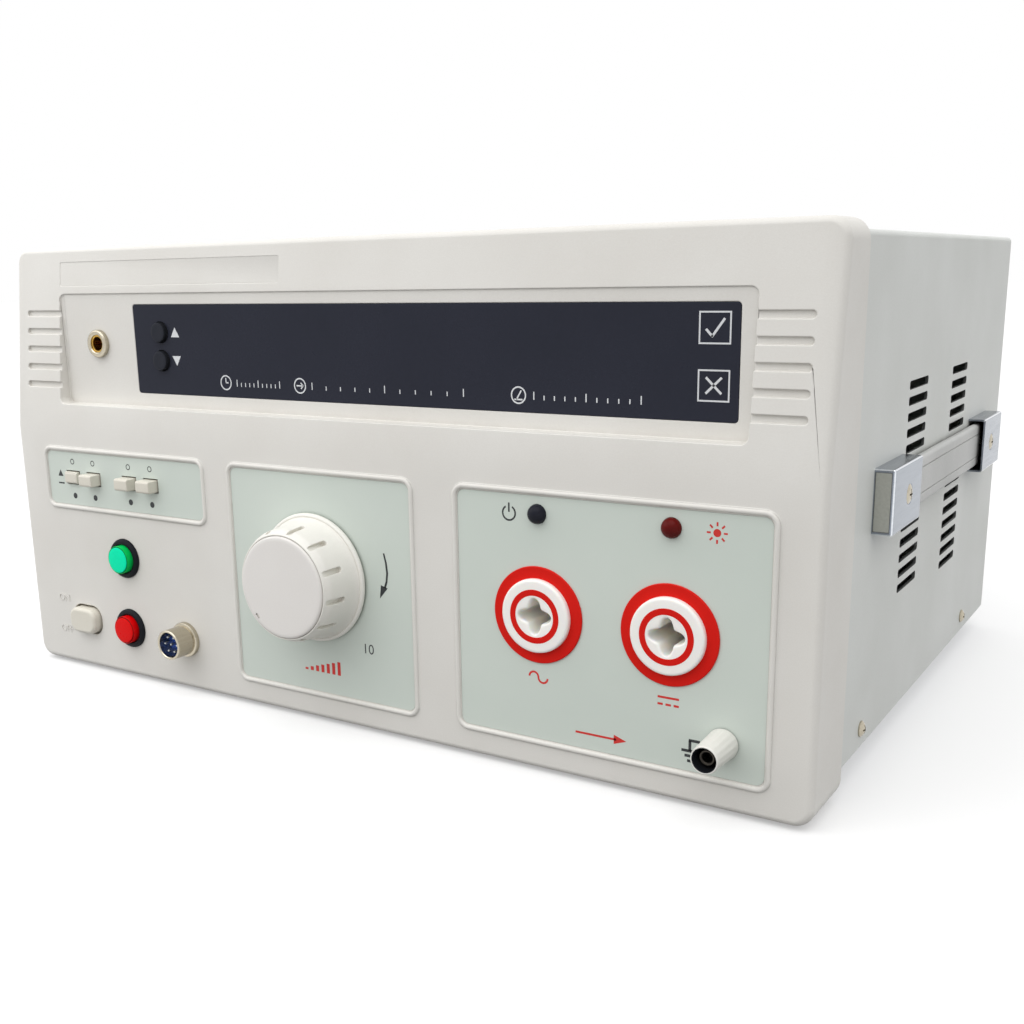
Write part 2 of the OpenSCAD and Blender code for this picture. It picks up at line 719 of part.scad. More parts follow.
lamp_flange = 1.4;
module lamp(x) on_panel([x, lamp_z]) {
  translate([0, plate_y, 0]) sphere(d = lamp_d);
  rod_y(lamp_d, plate_y, wall_y + 6);
  rod_y(lamp_d + lamp_flange, wall_y, wall_y + 1.5);
}

module ready_lamp() color([0.16, 0.17, 0.19]) lamp(socket_x[0]);
module danger_lamp() color([0.42, 0.05, 0.07]) lamp(socket_x[1]);

// High-voltage output sockets

disc_t = 0.8;
flange_t = 2.4;
socket_face = plate_y - disc_t - flange_t;
socket_depth = 28;
socket_back = 38;
ring_d = [17.1, 22.3];
ring_t = 0.5;
contact_d = 5;
contact_tail = 8;                       // how far a contact reaches behind its socket
lobe_points = 96;

// Four-lobed outline: a circle whose radius rises and falls four times a turn
module lobed_outline() polygon([
  for (i = [0:lobe_points - 1]) let (a = i * 360 / lobe_points, r = lobe_r + lobe_rise * cos(4 * a))
    [r * cos(a), r * sin(a)]
]);

module output_socket(x) on_panel([x, socket_z]) difference() {
  union() {
    cone_y(socket_d - 1.6, socket_d, socket_face, socket_face + 0.8);
    rod_y(socket_d, socket_face + 0.8, socket_face + flange_t);
    rod_y(barrel_d, socket_face + 1, socket_back);
  }
  along_y(socket_face - cut, socket_depth) lobed_outline();
  rod_y(contact_d + 2 * snug, socket_depth - cut, socket_back + cut);
  difference() {
    rod_y(ring_d[1] + 2 * snug, socket_face - cut, socket_face + ring_t);
    rod_y(ring_d[0] - 2 * snug, socket_face - 2 * cut, socket_face + 2 * ring_t);
  }
}

module ac_socket() color([0.94, 0.93, 0.9]) output_socket(socket_x[0]);
module dc_socket() color([0.94, 0.93, 0.9]) output_socket(socket_x[1]);

module socket_discs() color([0.82, 0.1, 0.07]) for (x = socket_x) on_panel([x, socket_z]) difference() {
  rod_y(disc_d, plate_y - disc_t, plate_y);
  rod_y(barrel_d + 2 * gap, plate_y - disc_t - cut, plate_y + cut);
}

module socket_rings() color([0.88, 0.06, 0.05]) for (x = socket_x) on_panel([x, socket_z]) difference() {
  rod_y(ring_d[1], socket_face, socket_face + ring_t);
  rod_y(ring_d[0], socket_face - cut, socket_face + ring_t + cut);
}

module socket_contacts() color([0.8, 0.66, 0.3]) for (x = socket_x) on_panel([x, socket_z]) {
  rod_y(contact_d, socket_depth - 6, socket_back + contact_tail);
  rod_y(contact_d + 4, socket_back, socket_back + 2);
}

// Earth post: a white sleeve that turns on a plug socket fixed in the panel

post_stud_d = 6;
post_tip_d = 10.9;
post_mouth_d = 9;
post_flutes = 16;

module earth_sleeve() color([0.93, 0.92, 0.9]) on_panel(post_at) difference() {
  cone_y(post_tip_d, post_d, -post_reach, plate_y - gap);
  rod_y(post_mouth_d, -post_reach - cut, -5);
  rod_y(post_stud_d + 2 * snug, -post_reach, cut);
  for (i = [0:post_flutes - 1]) rotate([0, i * 360 / post_flutes, 0])
    translate([0, 0, post_d / 2]) rotate([atan((post_d - post_tip_d) / 2 / post_reach), 0, 0])
      rod_y(0.9, -post_reach * 0.8, -post_reach * 0.2);
}

module earth_contact() color([0.7, 0.68, 0.62]) on_panel(post_at) difference() {
  union() {
    rod_y(post_stud_d, -post_reach + 3, post_rear);
    rod_y(post_stud_d + 5, wall_y, wall_y + 1.2);
  }
  rod_y(post_bore_d, -post_reach + 3 - cut, -post_reach + 3 + 15);
}

// Nuts that hold the sockets, the buttons and the earth post behind the panel
module panel_nuts() color([0.75, 0.75, 0.76]) {
  for (x = socket_x) on_panel([x, socket_z]) hex_nut(34, barrel_d + 2 * snug, wall_y, wall_y + 5);
  for (p = [start_at, reset_at]) on_panel(p) hex_nut(20, press_barrel_d + 2 * snug, wall_y, wall_y + 3);
  on_panel(remote_at) hex_nut(19, remote_d + 2 * snug, wall_y, wall_y + 3);
  on_panel(post_at) hex_nut(10, post_stud_d + 2 * snug, wall_y + 1.2, wall_y + 4.2);
  on_panel(jack_at) hex_nut(12, jack_stud_d + 2 * snug, floor_back, floor_back + 2.5);
}

// Sheet-metal case

vent_in = [90.5, 169.5];                // middles of the two slot columns behind the case's front
vent_y = [for (v = vent_in) cover_y + v];
vent_drop = 60.5;                       // uppermost slot below the case top
vent_top = cover_top - vent_drop;
case_screw_in = [29.5, 216.5];          // side screws behind the case's front
case_screw_y = [for (v = case_screw_in) cover_y + v];
case_screw_up = 8;                      // side screws above the case's lower edge
case_screw_z = foot_h + case_screw_up;
screw_clear = 0.2;

// Outline of the cover: top and two sides, with bent corners
module cover_outline() difference() {
  union() {
    translate([0, (cover_top + foot_h - bend_r) / 2])
      square([cover_w, cover_top - foot_h - bend_r], center = true);
    translate([0, cover_top - bend_r]) square([cover_w - 2 * bend_r, 2 * bend_r], center = true);
    for (s = [-1, 1]) translate([s * (cover_w / 2 - bend_r), cover_top - bend_r]) circle(bend_r);
  }
  translate([0, (inner_z + foot_h) / 2 - cut])
    square([2 * inner_x, inner_z - foot_h + 2 * cut], center = true);
}

// One column of vent slots through the right-hand side
module vent_column(y, rows) for (i = [0:rows - 1]) {
  z = vent_top - i * slot_pitch;
  block([inner_x - cut, y - slot_l / 2, z - slot_h / 2], [cover_w / 2 + cut, y + slot_l / 2, z + slot_h / 2]);
}

module top_cover() color([0.78, 0.79, 0.77]) difference() {
  along_y(cover_y, rear_y) cover_outline();
  both_sides() {
    vent_column(vent_y[0], front_rows);
    vent_column(vent_y[1], rear_rows);
    for (y = case_screw_y) translate([0, y, case_screw_z])
      rod_x(screw_d + 2 * screw_clear, inner_x - cut, cover_w / 2 + cut);
    handle_screw_places() rod_x(cap_screw_d + 2 * screw_clear, inner_x - cut, cover_w / 2 + cut);
  }
}

chassis_x = inner_x - gap;
foot_x = cover_w / 2 - 62;
foot_y = [cover_y + 36, rear_y - 36];

// Floor with side flanges, and front uprights that the bezel is screwed to
module bottom_chassis() color([0.72, 0.74, 0.75]) difference() {
  union() {
    block([-chassis_x, boss_y, foot_h], [chassis_x, rear_y, chassis_z]);
    both_sides() {
      block([chassis_x - sheet_t, cover_y, foot_h], [chassis_x, rear_y, chassis_z + flange_h]);
      block([boss_x - upright_w / 2, boss_y, foot_h],
        [boss_x + upright_w / 2, boss_y + sheet_t, bezel_lift + boss_z[2] + upright_w / 2]);
    }
  }
  both_sides() {
    for (y = case_screw_y) translate([0, y, case_screw_z])
      rod_x(screw_d + 2 * snug, chassis_x - sheet_t - cut, chassis_x + cut);
    for (z = boss_z) on_panel([boss_x, z])
      rod_y(screw_d + 2 * screw_clear, boss_y - cut, boss_y + sheet_t + cut);
    for (y = foot_y) translate([foot_x, y, 0]) rod_z(screw_d + 1 + 2 * snug, foot_h - cut, chassis_z + cut);
  }
}

rear_t = 1.5;
rear_set = 1;
rear_face = rear_y - rear_set;
rear_x = chassis_x - sheet_t - gap;
inlet_at = [-150, 58];
fuse_at = [-105, 58];
inlet_open = [24.6, 16.4];
inlet_wall = 1.8;
inlet_flange = [48, 27];
inlet_depth = 18;

// Rear plate with flanges turned in along its two sides and its foot
module rear_panel() color([0.78, 0.79, 0.77]) difference() {
  union() {
    block([-rear_x, rear_face - rear_t, chassis_z], [rear_x, rear_face, inner_z - gap]);
    block([-rear_x, rear_face - 14, chassis_z], [rear_x, rear_face, chassis_z + rear_t]);
    both_sides() block([rear_x - rear_t, rear_face - 14, chassis_z], [rear_x, rear_face, inner_z - gap]);
  }
  translate([inlet_at[0], 0, inlet_at[1]])
    along_y(rear_face - rear_t - cut, rear_face + cut) inlet_shell(snug);
  translate([fuse_at[0], 0, fuse_at[1]])
    rod_y(fuse_barrel_d + 2 * snug, rear_face - rear_t - cut, rear_face + cut);
}

// Feet, drawn once and set at the four corners of the floor
module foot_places() both_sides() for (y = foot_y) translate([foot_x, y, 0]) children();

module rubber_feet() color([0.12, 0.12, 0.12]) foot_places() difference() {
  cylinder(d1 = foot_d - 4, d2 = foot_d, h = foot_h);
  rod_z(screw_d + 1 + 2 * snug, -cut, foot_h + cut);
  rod_z(9, -cut, foot_h / 2);
}

// Pan-head screws: case sides, bezel bosses and feet
module pan_screw(d, l) {
  cylinder(d = d, h = l);
  difference() {
    intersection() {
      translate([0, 0, -0.7 * d]) cylinder(d = 2.2 * d, h = 0.7 * d);
      translate([0, 0, 0.75 * d]) sphere(d = 2.9 * d);
    }
    for (a = [0, 90]) rotate([0, 0, a]) translate([0, 0, -0.7 * d])
      cube([1.2 * d, 0.22 * d, 0.6 * d], center = true);
  }
}

// Oval countersunk screw: its rim is level with z = 0 and its low dome stands above that
oval_rise = 0.2;                        // height of the dome, as a share of the thread
module oval_screw(d, l) {
  dome_r = d * (1 + oval_rise * oval_rise) / (2 * oval_rise);
  cylinder(d = d, h = l);
  difference() {
    union() {
      cylinder(d1 = 2 * d, d2 = d, h = d / 2);
      intersection() {
        translate([0, 0, -oval_rise * d]) cylinder(d = 2 * d, h = oval_rise * d);
        translate([0, 0, dome_r - oval_rise * d]) sphere(r = dome_r);
      }
    }
    for (a = [0, 90]) rotate([0, 0, a]) translate([0, 0, -oval_rise * d])
      cube([1.1 * d, 0.22 * d, 0.6 * d], center = true);
  }
}

module case_screws() color([0.8, 0.79, 0.75]) {
  both_sides() {
    for (y = case_screw_y) translate([cover_w / 2, y, case_screw_z])
      rotate([0, -90, 0]) pan_screw(screw_d, 7);
    for (z = boss_z) on_panel([boss_x, z])
      translate([0, boss_y + sheet_t, 0]) rotate([90, 0, 0]) pan_screw(screw_d - 2 * snug, 10);
  }
  foot_places() translate([0, 0, foot_h / 2]) pan_screw(screw_d + 1, foot_h / 2 + 6);
}

// Strap handles

// Places of the two cap screws on the right-hand side
module handle_screw_places() for (s = [-1, 1])
  translate([0, handle_mid_y + s * (handle_l / 2 - cap_screw_in), handle_z]) children();

// Pressed cap: face, two edges and an end, open to the strap and to the case
module handle_cap() difference() {
  block([cover_w / 2, handle_mid_y - handle_l / 2, handle_z - cap_h / 2],
    [cover_w / 2 + cap_out, handle_mid_y - handle_l / 2 + cap_l, handle_z + cap_h / 2]);
  block([cover_w / 2 - cut, handle_mid_y - handle_l / 2 + cap_t, handle_z - cap_h / 2 + cap_t],
    [cover_w / 2 + cap_out - cap_t, handle_mid_y - handle_l / 2 + cap_l + cut, handle_z + cap_h / 2 - cap_t]);
  // countersunk seat of the cap's screw
  handle_screw_places() translate([cover_w / 2 + cap_out, 0, 0]) rotate([0, -90, 0])
    cylinder(d1 = 2 * (cap_screw_d + snug), d2 = cap_screw_d + 2 * snug, h = cap_screw_d / 2);
}

// Front cap and its mirror image at the rear
module handle_caps() for (m = [0, 1])
  translate([0, handle_mid_y, 0]) mirror([0, m, 0]) translate([0, -handle_mid_y, 0]) handle_cap();

module right_handle_caps() color([0.75, 0.77, 0.8]) handle_caps();
module left_handle_caps() color([0.75, 0.77, 0.8]) mirror([1, 0, 0]) handle_caps();

// Cross-section of the strap: round edges, with a fine line near each edge
module strap_outline() difference() {
  rounded_rect(strap_t, strap_h, strap_t / 2 - 0.01);
  for (s = [-1, 1]) translate([strap_t / 2, s * (strap_h / 2 - 4.5)]) square([0.8, 0.6], center = true);
}

// Half of a strap, from the middle towards the front
module strap_half_solid() translate([strap_x + strap_t / 2, 0, handle_z])
  along_y(handle_mid_y - strap_half, handle_mid_y - gap / 2) strap_outline();

module strap_rear_solid()
  translate([0, handle_mid_y, 0]) mirror([0, 1, 0]) translate([0, -handle_mid_y, 0]) strap_half_solid();

module right_strap_front() color([0.6, 0.61, 0.61]) strap_half_solid();
module right_strap_rear() color([0.6, 0.61, 0.61]) strap_rear_solid();
module left_strap_front() color([0.6, 0.61, 0.61]) mirror([1, 0, 0]) strap_half_solid();
module left_strap_rear() color([0.6, 0.61, 0.61]) mirror([1, 0, 0]) strap_rear_solid();

module handle_screws() color([0.8, 0.76, 0.66]) both_sides()
  handle_screw_places() translate([cover_w / 2 + cap_out, 0, 0]) rotate([0, -90, 0])
    oval_screw(cap_screw_d, cap_out + cap_screw_grip);

// High-voltage transformer

limb_w = 40;
leg_w = 20;
coil_bulge = 17;

module transformer_place() translate([core_at[0], core_at[1], chassis_z + core_h / 2]) children();

module transformer_core() color([0.42, 0.42, 0.44]) transformer_place() difference() {
  cube([core_w, core_d, core_h], center = true);
  for (s = [-1, 1]) translate([s * (limb_w / 2 + (core_w - limb_w - 2 * leg_w) / 4), 0, 0])
    cube([(core_w - limb_w - 2 * leg_w) / 2, core_d + cut, core_h - 2 * leg_w], center = true);
}

module transformer_coil() color([0.78, 0.68, 0.35]) transformer_place() difference() {
  cube([core_w - 2 * leg_w - 2 * gap, core_d + 2 * coil_bulge, core_h - 2 * leg_w - 2 * gap], center = true);
  cube([limb_w + 2 * gap, core_d + 2 * gap, core_h], center = true);
}

// Potted rectifier and output block, with one terminal post for each socket
module rectifier_block() color([0.15, 0.15, 0.17]) translate([rectifier_at[0], rectifier_at[1], chassis_z]) {
  block([-rectifier_size[0] / 2, -rectifier_size[1] / 2, 0],
    [rectifier_size[0] / 2, rectifier_size[1] / 2, rectifier_size[2]]);
  for (x = socket_x) translate([x - rectifier_at[0], 0, 0]) rod_z(terminal_d, 0, terminal_top - chassis_z);
}

// Insulated leads from the terminal posts to the contacts of the output sockets
module output_leads() color([0.7, 0.1, 0.1]) for (x = socket_x) on_panel([x, socket_z]) {
  rod_y(lead_d, socket_back + contact_tail, rectifier_at[1] - lead_r);
  translate([0, rectifier_at[1] - lead_r, -lead_r]) rotate([90, 0, 90])
    rotate_extrude(angle = 90) translate([lead_r, 0]) circle(d = lead_d);
  translate([0, rectifier_at[1], 0])
    rod_z(lead_d, -lead_r - lead_drop, -lead_r);
}

// Control board on its standoffs, and what is soldered to it
module control_place() translate([control_at[0], control_at[1], chassis_z]) children();

module control_board() color([0.1, 0.35, 0.2]) control_place() {
  translate([0, 0, standoff_h]) linear_extrude(board_t)
    square(control_size, center = true);
  for (sx = [-1, 1], sy = [-1, 1])
    translate([sx * (control_size[0] / 2 - standoff_in), sy * (control_size[1] / 2 - standoff_in), 0])
      rod_z(standoff_d, 0, standoff_h);
}

// Upright block standing on the board, centred at the given place
module board_block(p, size) translate([p[0] - size[0] / 2, p[1] - size[1] / 2, 0]) cube(size);

module board_parts() control_place() translate([0, 0, standoff_h + board_t]) {
  color([0.15, 0.25, 0.5]) for (i = [0:3]) board_block([(i - 2) * relay_pitch, relay_y], relay_size);
  color([0.12, 0.12, 0.13]) for (i = [0:2]) board_block([(i - 1.1) * chip_pitch, 0], chip_size);
  color([0.2, 0.2, 0.35]) for (i = [0:2]) translate([(i - 2.5) * can_pitch, can_y, 0]) rod_z(can_d, 0, can_h);
  color([0.1, 0.1, 0.1]) translate([can_pitch, can_y, 0]) rod_z(buzzer_d, 0, buzzer_h);
  color([0.4, 0.4, 0.42]) board_block(supply_at, supply_size);
}

// Mains inlet, fuse holder and fuse cap in the rear plate

// Outside of the inlet's shell, grown by a clearance
module inlet_shell(clear) {
  edge = 2 * (inlet_wall + clear);
  square([inlet_open[0] + edge, inlet_open[1] + edge], center = true);
}

module mains_inlet() translate([inlet_at[0], 0, inlet_at[1]]) {
  color([0.1, 0.1, 0.1]) difference() {
    union() {
      along_y(rear_face, rear_face + 3) square(inlet_flange, center = true);
      along_y(rear_face - inlet_depth, rear_face + 1) inlet_shell(0);
    }
    along_y(rear_face - inlet_depth + inlet_wall, rear_face + 3 + cut) square(inlet_open, center = true);
  }
  color([0.75, 0.75, 0.74]) for (p = [[-7, 1], [7, 1], [0, 5]]) translate([p[0], 0, p[1]])
    along_y(rear_face - inlet_depth + inlet_wall, rear_face - 1) square([2, 4], center = true);
}

fuse_barrel_d = 14;
fuse_cap_d = 12;
fuse_cap_out = stud_reach;

module fuse_holder() color([0.1, 0.1, 0.1]) translate([fuse_at[0], 0, fuse_at[1]]) difference() {
  union() {
    rod_y(fuse_barrel_d, rear_face - 30, rear_face + 1);
    rod_y(fuse_barrel_d + 5, rear_face, rear_face + 3);
  }
  rod_y(fuse_cap_d - 3 + 2 * gap, rear_face - 26, rear_face + 3 + cut);
}

module fuse_cap() color([0.12, 0.12, 0.12]) translate([fuse_at[0], 0, fuse_at[1]]) difference() {
  union() {
    rod_y(fuse_cap_d - 3, rear_face - 25, rear_face + 4);
    rod_y(fuse_cap_d + 3, rear_face + 3 + gap, rear_y + fuse_cap_out);
  }
  block([-fuse_cap_d / 2, rear_y + fuse_cap_out - 1.5, -0.8],
    [fuse_cap_d / 2, rear_y + fuse_cap_out + cut, 0.8]);
}

part_frame() front_bezel();
part_frame() display_window();
part_frame() timer_up_button();
part_frame() timer_down_button();
part_frame() jack_ring();
part_frame() jack_sleeve();
part_frame() switch_label_plate();
part_frame() knob_label_plate();
part_frame() output_label_plate();
part_frame() range_button_1();
part_frame() range_button_2();
part_frame() range_button_3();
part_frame() range_button_4();
part_frame() range_switch_bank();
part_frame() start_button();
part_frame() reset_button();
part_frame() button_collars();
part_frame() power_button();
part_frame() power_switch();
part_frame() remote_shell();
part_frame() remote_insert();
part_frame() remote_pins();
part_frame() voltage_knob();
part_frame() knob_cap();
part_frame() regulator_shaft();
part_frame() regulator_arm();
part_frame() regulator_winding();
part_frame() regulator_bracket();
part_frame() ready_lamp();
part_frame() danger_lamp();
part_frame() ac_socket();
part_frame() dc_socket();
part_frame() socket_discs();
part_frame() socket_rings();
part_frame() socket_contacts();
part_frame() earth_sleeve();
part_frame() earth_contact();
part_frame() panel_nuts();
part_frame() top_cover();
part_frame() bottom_chassis();
part_frame() rear_panel();
part_frame() rubber_feet();
part_frame() case_screws();
part_frame() right_handle_caps();
part_frame() left_handle_caps();
part_frame() right_strap_front();
part_frame() right_strap_rear();
part_frame() left_strap_front();
part_frame() left_strap_rear();
part_frame() handle_screws();
part_frame() transformer_core();
part_frame() transformer_coil();
part_frame() rectifier_block();
part_frame() output_leads();
part_frame() control_board();
part_frame() board_parts();
part_frame() display_board();
part_frame() mains_inlet();
part_frame() fuse_holder();
part_frame() fuse_cap();
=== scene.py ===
# %% [markdown]
# # A bench hipot tester, dressed in Blender
# The solids come from the CAD frame, already in metres and in their places. This lesson keeps
# those sizes and gives each piece the soft edges, finish and print that the real one shows.

# %% Load the frame
import json
import math
import bmesh
import bpy
from mathutils import Matrix, Vector


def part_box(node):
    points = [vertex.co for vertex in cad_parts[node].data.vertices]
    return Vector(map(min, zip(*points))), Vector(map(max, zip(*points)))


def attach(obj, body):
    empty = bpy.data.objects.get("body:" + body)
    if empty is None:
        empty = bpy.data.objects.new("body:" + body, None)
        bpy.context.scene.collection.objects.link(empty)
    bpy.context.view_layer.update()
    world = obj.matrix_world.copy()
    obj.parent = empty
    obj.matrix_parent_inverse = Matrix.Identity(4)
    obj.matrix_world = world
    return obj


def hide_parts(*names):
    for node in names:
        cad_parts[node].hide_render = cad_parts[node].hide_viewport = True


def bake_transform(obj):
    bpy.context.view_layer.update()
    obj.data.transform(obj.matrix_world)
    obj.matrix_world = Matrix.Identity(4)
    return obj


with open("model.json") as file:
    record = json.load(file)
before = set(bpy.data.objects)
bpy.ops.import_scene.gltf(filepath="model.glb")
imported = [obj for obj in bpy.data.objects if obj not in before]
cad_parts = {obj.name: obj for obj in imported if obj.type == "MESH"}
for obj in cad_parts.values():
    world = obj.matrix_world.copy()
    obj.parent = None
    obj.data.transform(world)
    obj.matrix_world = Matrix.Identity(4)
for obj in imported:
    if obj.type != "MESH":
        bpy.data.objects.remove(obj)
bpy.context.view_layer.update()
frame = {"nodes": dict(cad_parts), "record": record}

# %% [markdown]
# Panel parts are easier to think about in millimetres measured from the front panel, so every
# new piece is drawn in millimetres (X right, Y back from the panel, Z up from the bench) and one
# matrix takes it to the frame when it is finished. Its place could be typed in, but the middle of the
# CAD node it stands for is safer, as it follows the CAD. The mesh of a circle can be a hair off centre,
# so that middle is rounded.

# %% Panel millimetres
MM = 0.001
PLATE_FRONT = 0.1      # a label plate lies this far behind the panel
PANEL_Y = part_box("knob_label_plate")[0][1] - PLATE_FRONT * MM
TO_ROW = Matrix.Translation((0, PANEL_Y, 0)) @ Matrix.Scale(MM, 4)
TO_PANEL = TO_ROW.inverted()


def panel_box(node):
    """The low and high corner of a CAD node, in panel millimetres."""
    return [TO_PANEL @ Vector(corner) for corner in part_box(node)]


def middle_of(node):
    """The (x, z) middle of a CAD node, to a twentieth of a millimetre."""
    low, high = panel_box(node)
    return tuple(round(10 * (low[axis] + high[axis])) / 20 for axis in (0, 2))


print("panel plane at y =", round(PANEL_Y, 4), "m")

# %% [markdown]
# ## The camera
# The photograph was taken from the right, a little below the top edge. A camera can be aimed by eye,
# but its position, turn and lens were fitted to points on the panel beforehand, so they are just
# written down here and repeat exactly.

# %% Camera
EYE = (0.3337, -0.5517, 0.2015)
YAW, PITCH, ROLL = (math.radians(a) for a in (33.36, -13.77, -1.22))
camera_data = bpy.data.cameras.new("photo_camera")
camera_data.sensor_width = 36
camera_data.lens = 42.4
camera_data.shift_x, camera_data.shift_y = 0.0413, 0.0545
camera_data.clip_start, camera_data.clip_end = 0.01, 50
camera = bpy.data.objects.new("photo_camera", camera_data)
camera.matrix_world = (Matrix.Translation(EYE) @ Matrix.Rotation(YAW, 4, "Z")
                       @ Matrix.Rotation(math.pi / 2 + PITCH, 4, "X") @ Matrix.Rotation(ROLL, 4, "Z"))
bpy.context.collection.objects.link(camera)
scene = bpy.context.scene
scene.camera = camera
scene.view_settings.view_transform = "Standard"
print("camera at", EYE)

# %% [markdown]
# ## Studio
# A pale floor, an even sky and two soft lights from above make the light of a catalogue picture: a
# broad sun that reaches the whole floor, and a softbox close to the front on the left, so that the
# panel is a little brighter at its top and left than at its foot and right. More lamps would only
# give crossing shadows.

# %% Soft lights
def soft_light(name, kind, energy, spot, aim):
    """A light at a spot, turned to what it aims at."""
    data = bpy.data.lights.new(name, kind)
    data.energy = energy
    thing = bpy.data.objects.new(name, data)
    thing.location = spot
    thing.rotation_euler = (Vector(aim) - Vector(spot)).to_track_quat("-Z", "Y").to_euler()
    bpy.context.collection.objects.link(thing)
    return thing


sun = soft_light("soft_sun", "SUN", 0.95, (0.1, -0.38, 1), (0, 0, 0))
sun.data.angle = math.radians(60)
softbox = soft_light("softbox", "AREA", 1.7, (-0.45, -0.47, 0.55), (-0.12, -0.13, 0.08))
softbox.data.shape, softbox.data.size, softbox.data.size_y = "RECTANGLE", 0.9, 0.6
softbox.visible_camera = False
print("sun", sun.data.energy, "softbox", softbox.data.energy)

# %% [markdown]
# The sky lights the object evenly, but it should look white where the camera, a mirror or a glass
# meets it. Light Path tells those rays apart, so the sky can be white to them without adding light.

# %% World
def seen_rays(tree):
    """A socket that is 1 for rays from the camera, a mirror or a glass, and 0 for all others."""
    path = tree.nodes.new("ShaderNodeLightPath")
    found = path.outputs["Is Camera Ray"]
    for kind in ("Is Glossy Ray", "Is Transmission Ray"):
        either = tree.nodes.new("ShaderNodeMath")
        either.operation = "MAXIMUM"
        tree.links.new(found, either.inputs[0])
        tree.links.new(path.outputs[kind], either.inputs[1])
        found = either.outputs[0]
    return found


SKY_LIGHT = 0.93
world = bpy.data.worlds.new("studio_sky")
scene.world = world
world.use_nodes = True
tree = world.node_tree
sky = tree.nodes["Background"]
sky.inputs["Color"].default_value = (1, 1, 1, 1)
level = tree.nodes.new("ShaderNodeMapRange")
level.inputs["To Min"].default_value = SKY_LIGHT
tree.links.new(seen_rays(tree), level.inputs["Value"])
tree.links.new(level.outputs["Result"], sky.inputs["Strength"])
print("sky", SKY_LIGHT)

# %% [markdown]
# The floor works the same way. To the camera it is pale, with some glow that keeps it white to the
# horizon and leaves a light shadow. To the light that bounces up it is darker, because the underside
# of the real object is shaded. A wide disc is enough for it, as the horizon is white anyway.

# %% Floor
FLOOR_R, FLOOR_SEEN, FLOOR_BOUNCE, FLOOR_GLOW = 12, 0.6, 0.22, 0.36
floor_mat = bpy.data.materials.new("studio_floor")
floor_mat.use_nodes = True
tree = floor_mat.node_tree
paper = tree.nodes["Principled BSDF"]
paper.inputs["Roughness"].default_value = 0.9
paper.inputs["Specular IOR Level"].default_value = 0.0
paper.inputs["Emission Color"].default_value = (1, 1, 1, 1)
shown = seen_rays(tree)
for socket, hidden, pale in (("Base Color", FLOOR_BOUNCE, FLOOR_SEEN),
                             ("Emission Strength", 0, FLOOR_GLOW)):
    level = tree.nodes.new("ShaderNodeMapRange")
    level.inputs["To Min"].default_value, level.inputs["To Max"].default_value = hidden, pale
    tree.links.new(shown, level.inputs["Value"])
    tree.links.new(level.outputs["Result"], paper.inputs[socket])
bm = bmesh.new()
bmesh.ops.create_circle(bm, cap_ends=True, segments=64, radius=FLOOR_R)
floor_mesh = bpy.data.meshes.new("studio_floor")
bm.to_mesh(floor_mesh)
bm.free()
floor_mesh.materials.append(floor_mat)
studio_floor = bpy.data.objects.new("studio_floor", floor_mesh)
bpy.context.collection.objects.link(studio_floor)
print("floor radius", FLOOR_R, "m")

# %% [markdown]
# ## Finishes
# Every surface gets a procedural finish. What several finishes share sits in a few shader groups:
# a fine grain with a broad mottle, dust with painted shade in the corners, and the drawn lines of
# bright metal. All of them read Object coordinates, so they stay put when a piece turns or is copied,
# and they need no picture files.

# %% Shader group helper
def shader_group(name, inputs, outputs):
    """An empty group with float inputs and the named outputs."""
    tree = bpy.data.node_groups.new(name, "ShaderNodeTree")
    for label, value in inputs:
        socket = tree.interface.new_socket(name=label, in_out="INPUT", socket_type="NodeSocketFloat")
        socket.default_value = value
    for label, kind in outputs:
        tree.interface.new_socket(name=label, in_out="OUTPUT", socket_type=kind)
    return tree, tree.nodes.new("NodeGroupInput"), tree.nodes.new("NodeGroupOutput")


def noise_of(tree, vector, scale, detail):
    """A noise texture node; scale is a number or a socket."""
    noise = tree.nodes.new("ShaderNodeTexNoise")
    noise.inputs["Detail"].default_value = detail
    tree.links.new(vector, noise.inputs["Vector"])
    if isinstance(scale, (int, float)):
        noise.inputs["Scale"].default_value = scale
    else:
        tree.links.new(scale, noise.inputs["Scale"])
    return noise.outputs["Fac"]


print("shader helpers ready")

# %% [markdown]
# Moulded plastic and sprayed paint are never smooth: a fine texture breaks the light, and the
# tone drifts a little over a hand's breadth. One group gives both, so a finish only picks the
# grain's scale and depth.

# %% Fine grain group
FINE_GRAIN, inlet, outlet = shader_group(
    "fine_grain", [("Scale", 1500), ("Depth", 0.00002)],
    [("Normal", "NodeSocketVector"), ("Mottle", "NodeSocketFloat")])
tree = FINE_GRAIN
where = tree.nodes.new("ShaderNodeTexCoord").outputs["Object"]
fine = noise_of(tree, where, inlet.outputs["Scale"], 3)
broad = noise_of(tree, where, 22, 4)
bump = tree.nodes.new("ShaderNodeBump")
bump.inputs["Strength"].default_value = 1.0
tree.links.new(inlet.outputs["Depth"], bump.inputs["Distance"])
tree.links.new(fine, bump.inputs["Height"])
blend = tree.nodes.new("ShaderNodeMix")
blend.inputs["Factor"].default_value = 0.35
tree.links.new(broad, blend.inputs["A"])
tree.links.new(fine, blend.inputs["B"])
tree.links.new(bump.outputs["Normal"], outlet.inputs["Normal"])
tree.links.new(blend.outputs["Result"], outlet.inputs["Mottle"])
print("group", FINE_GRAIN.name)
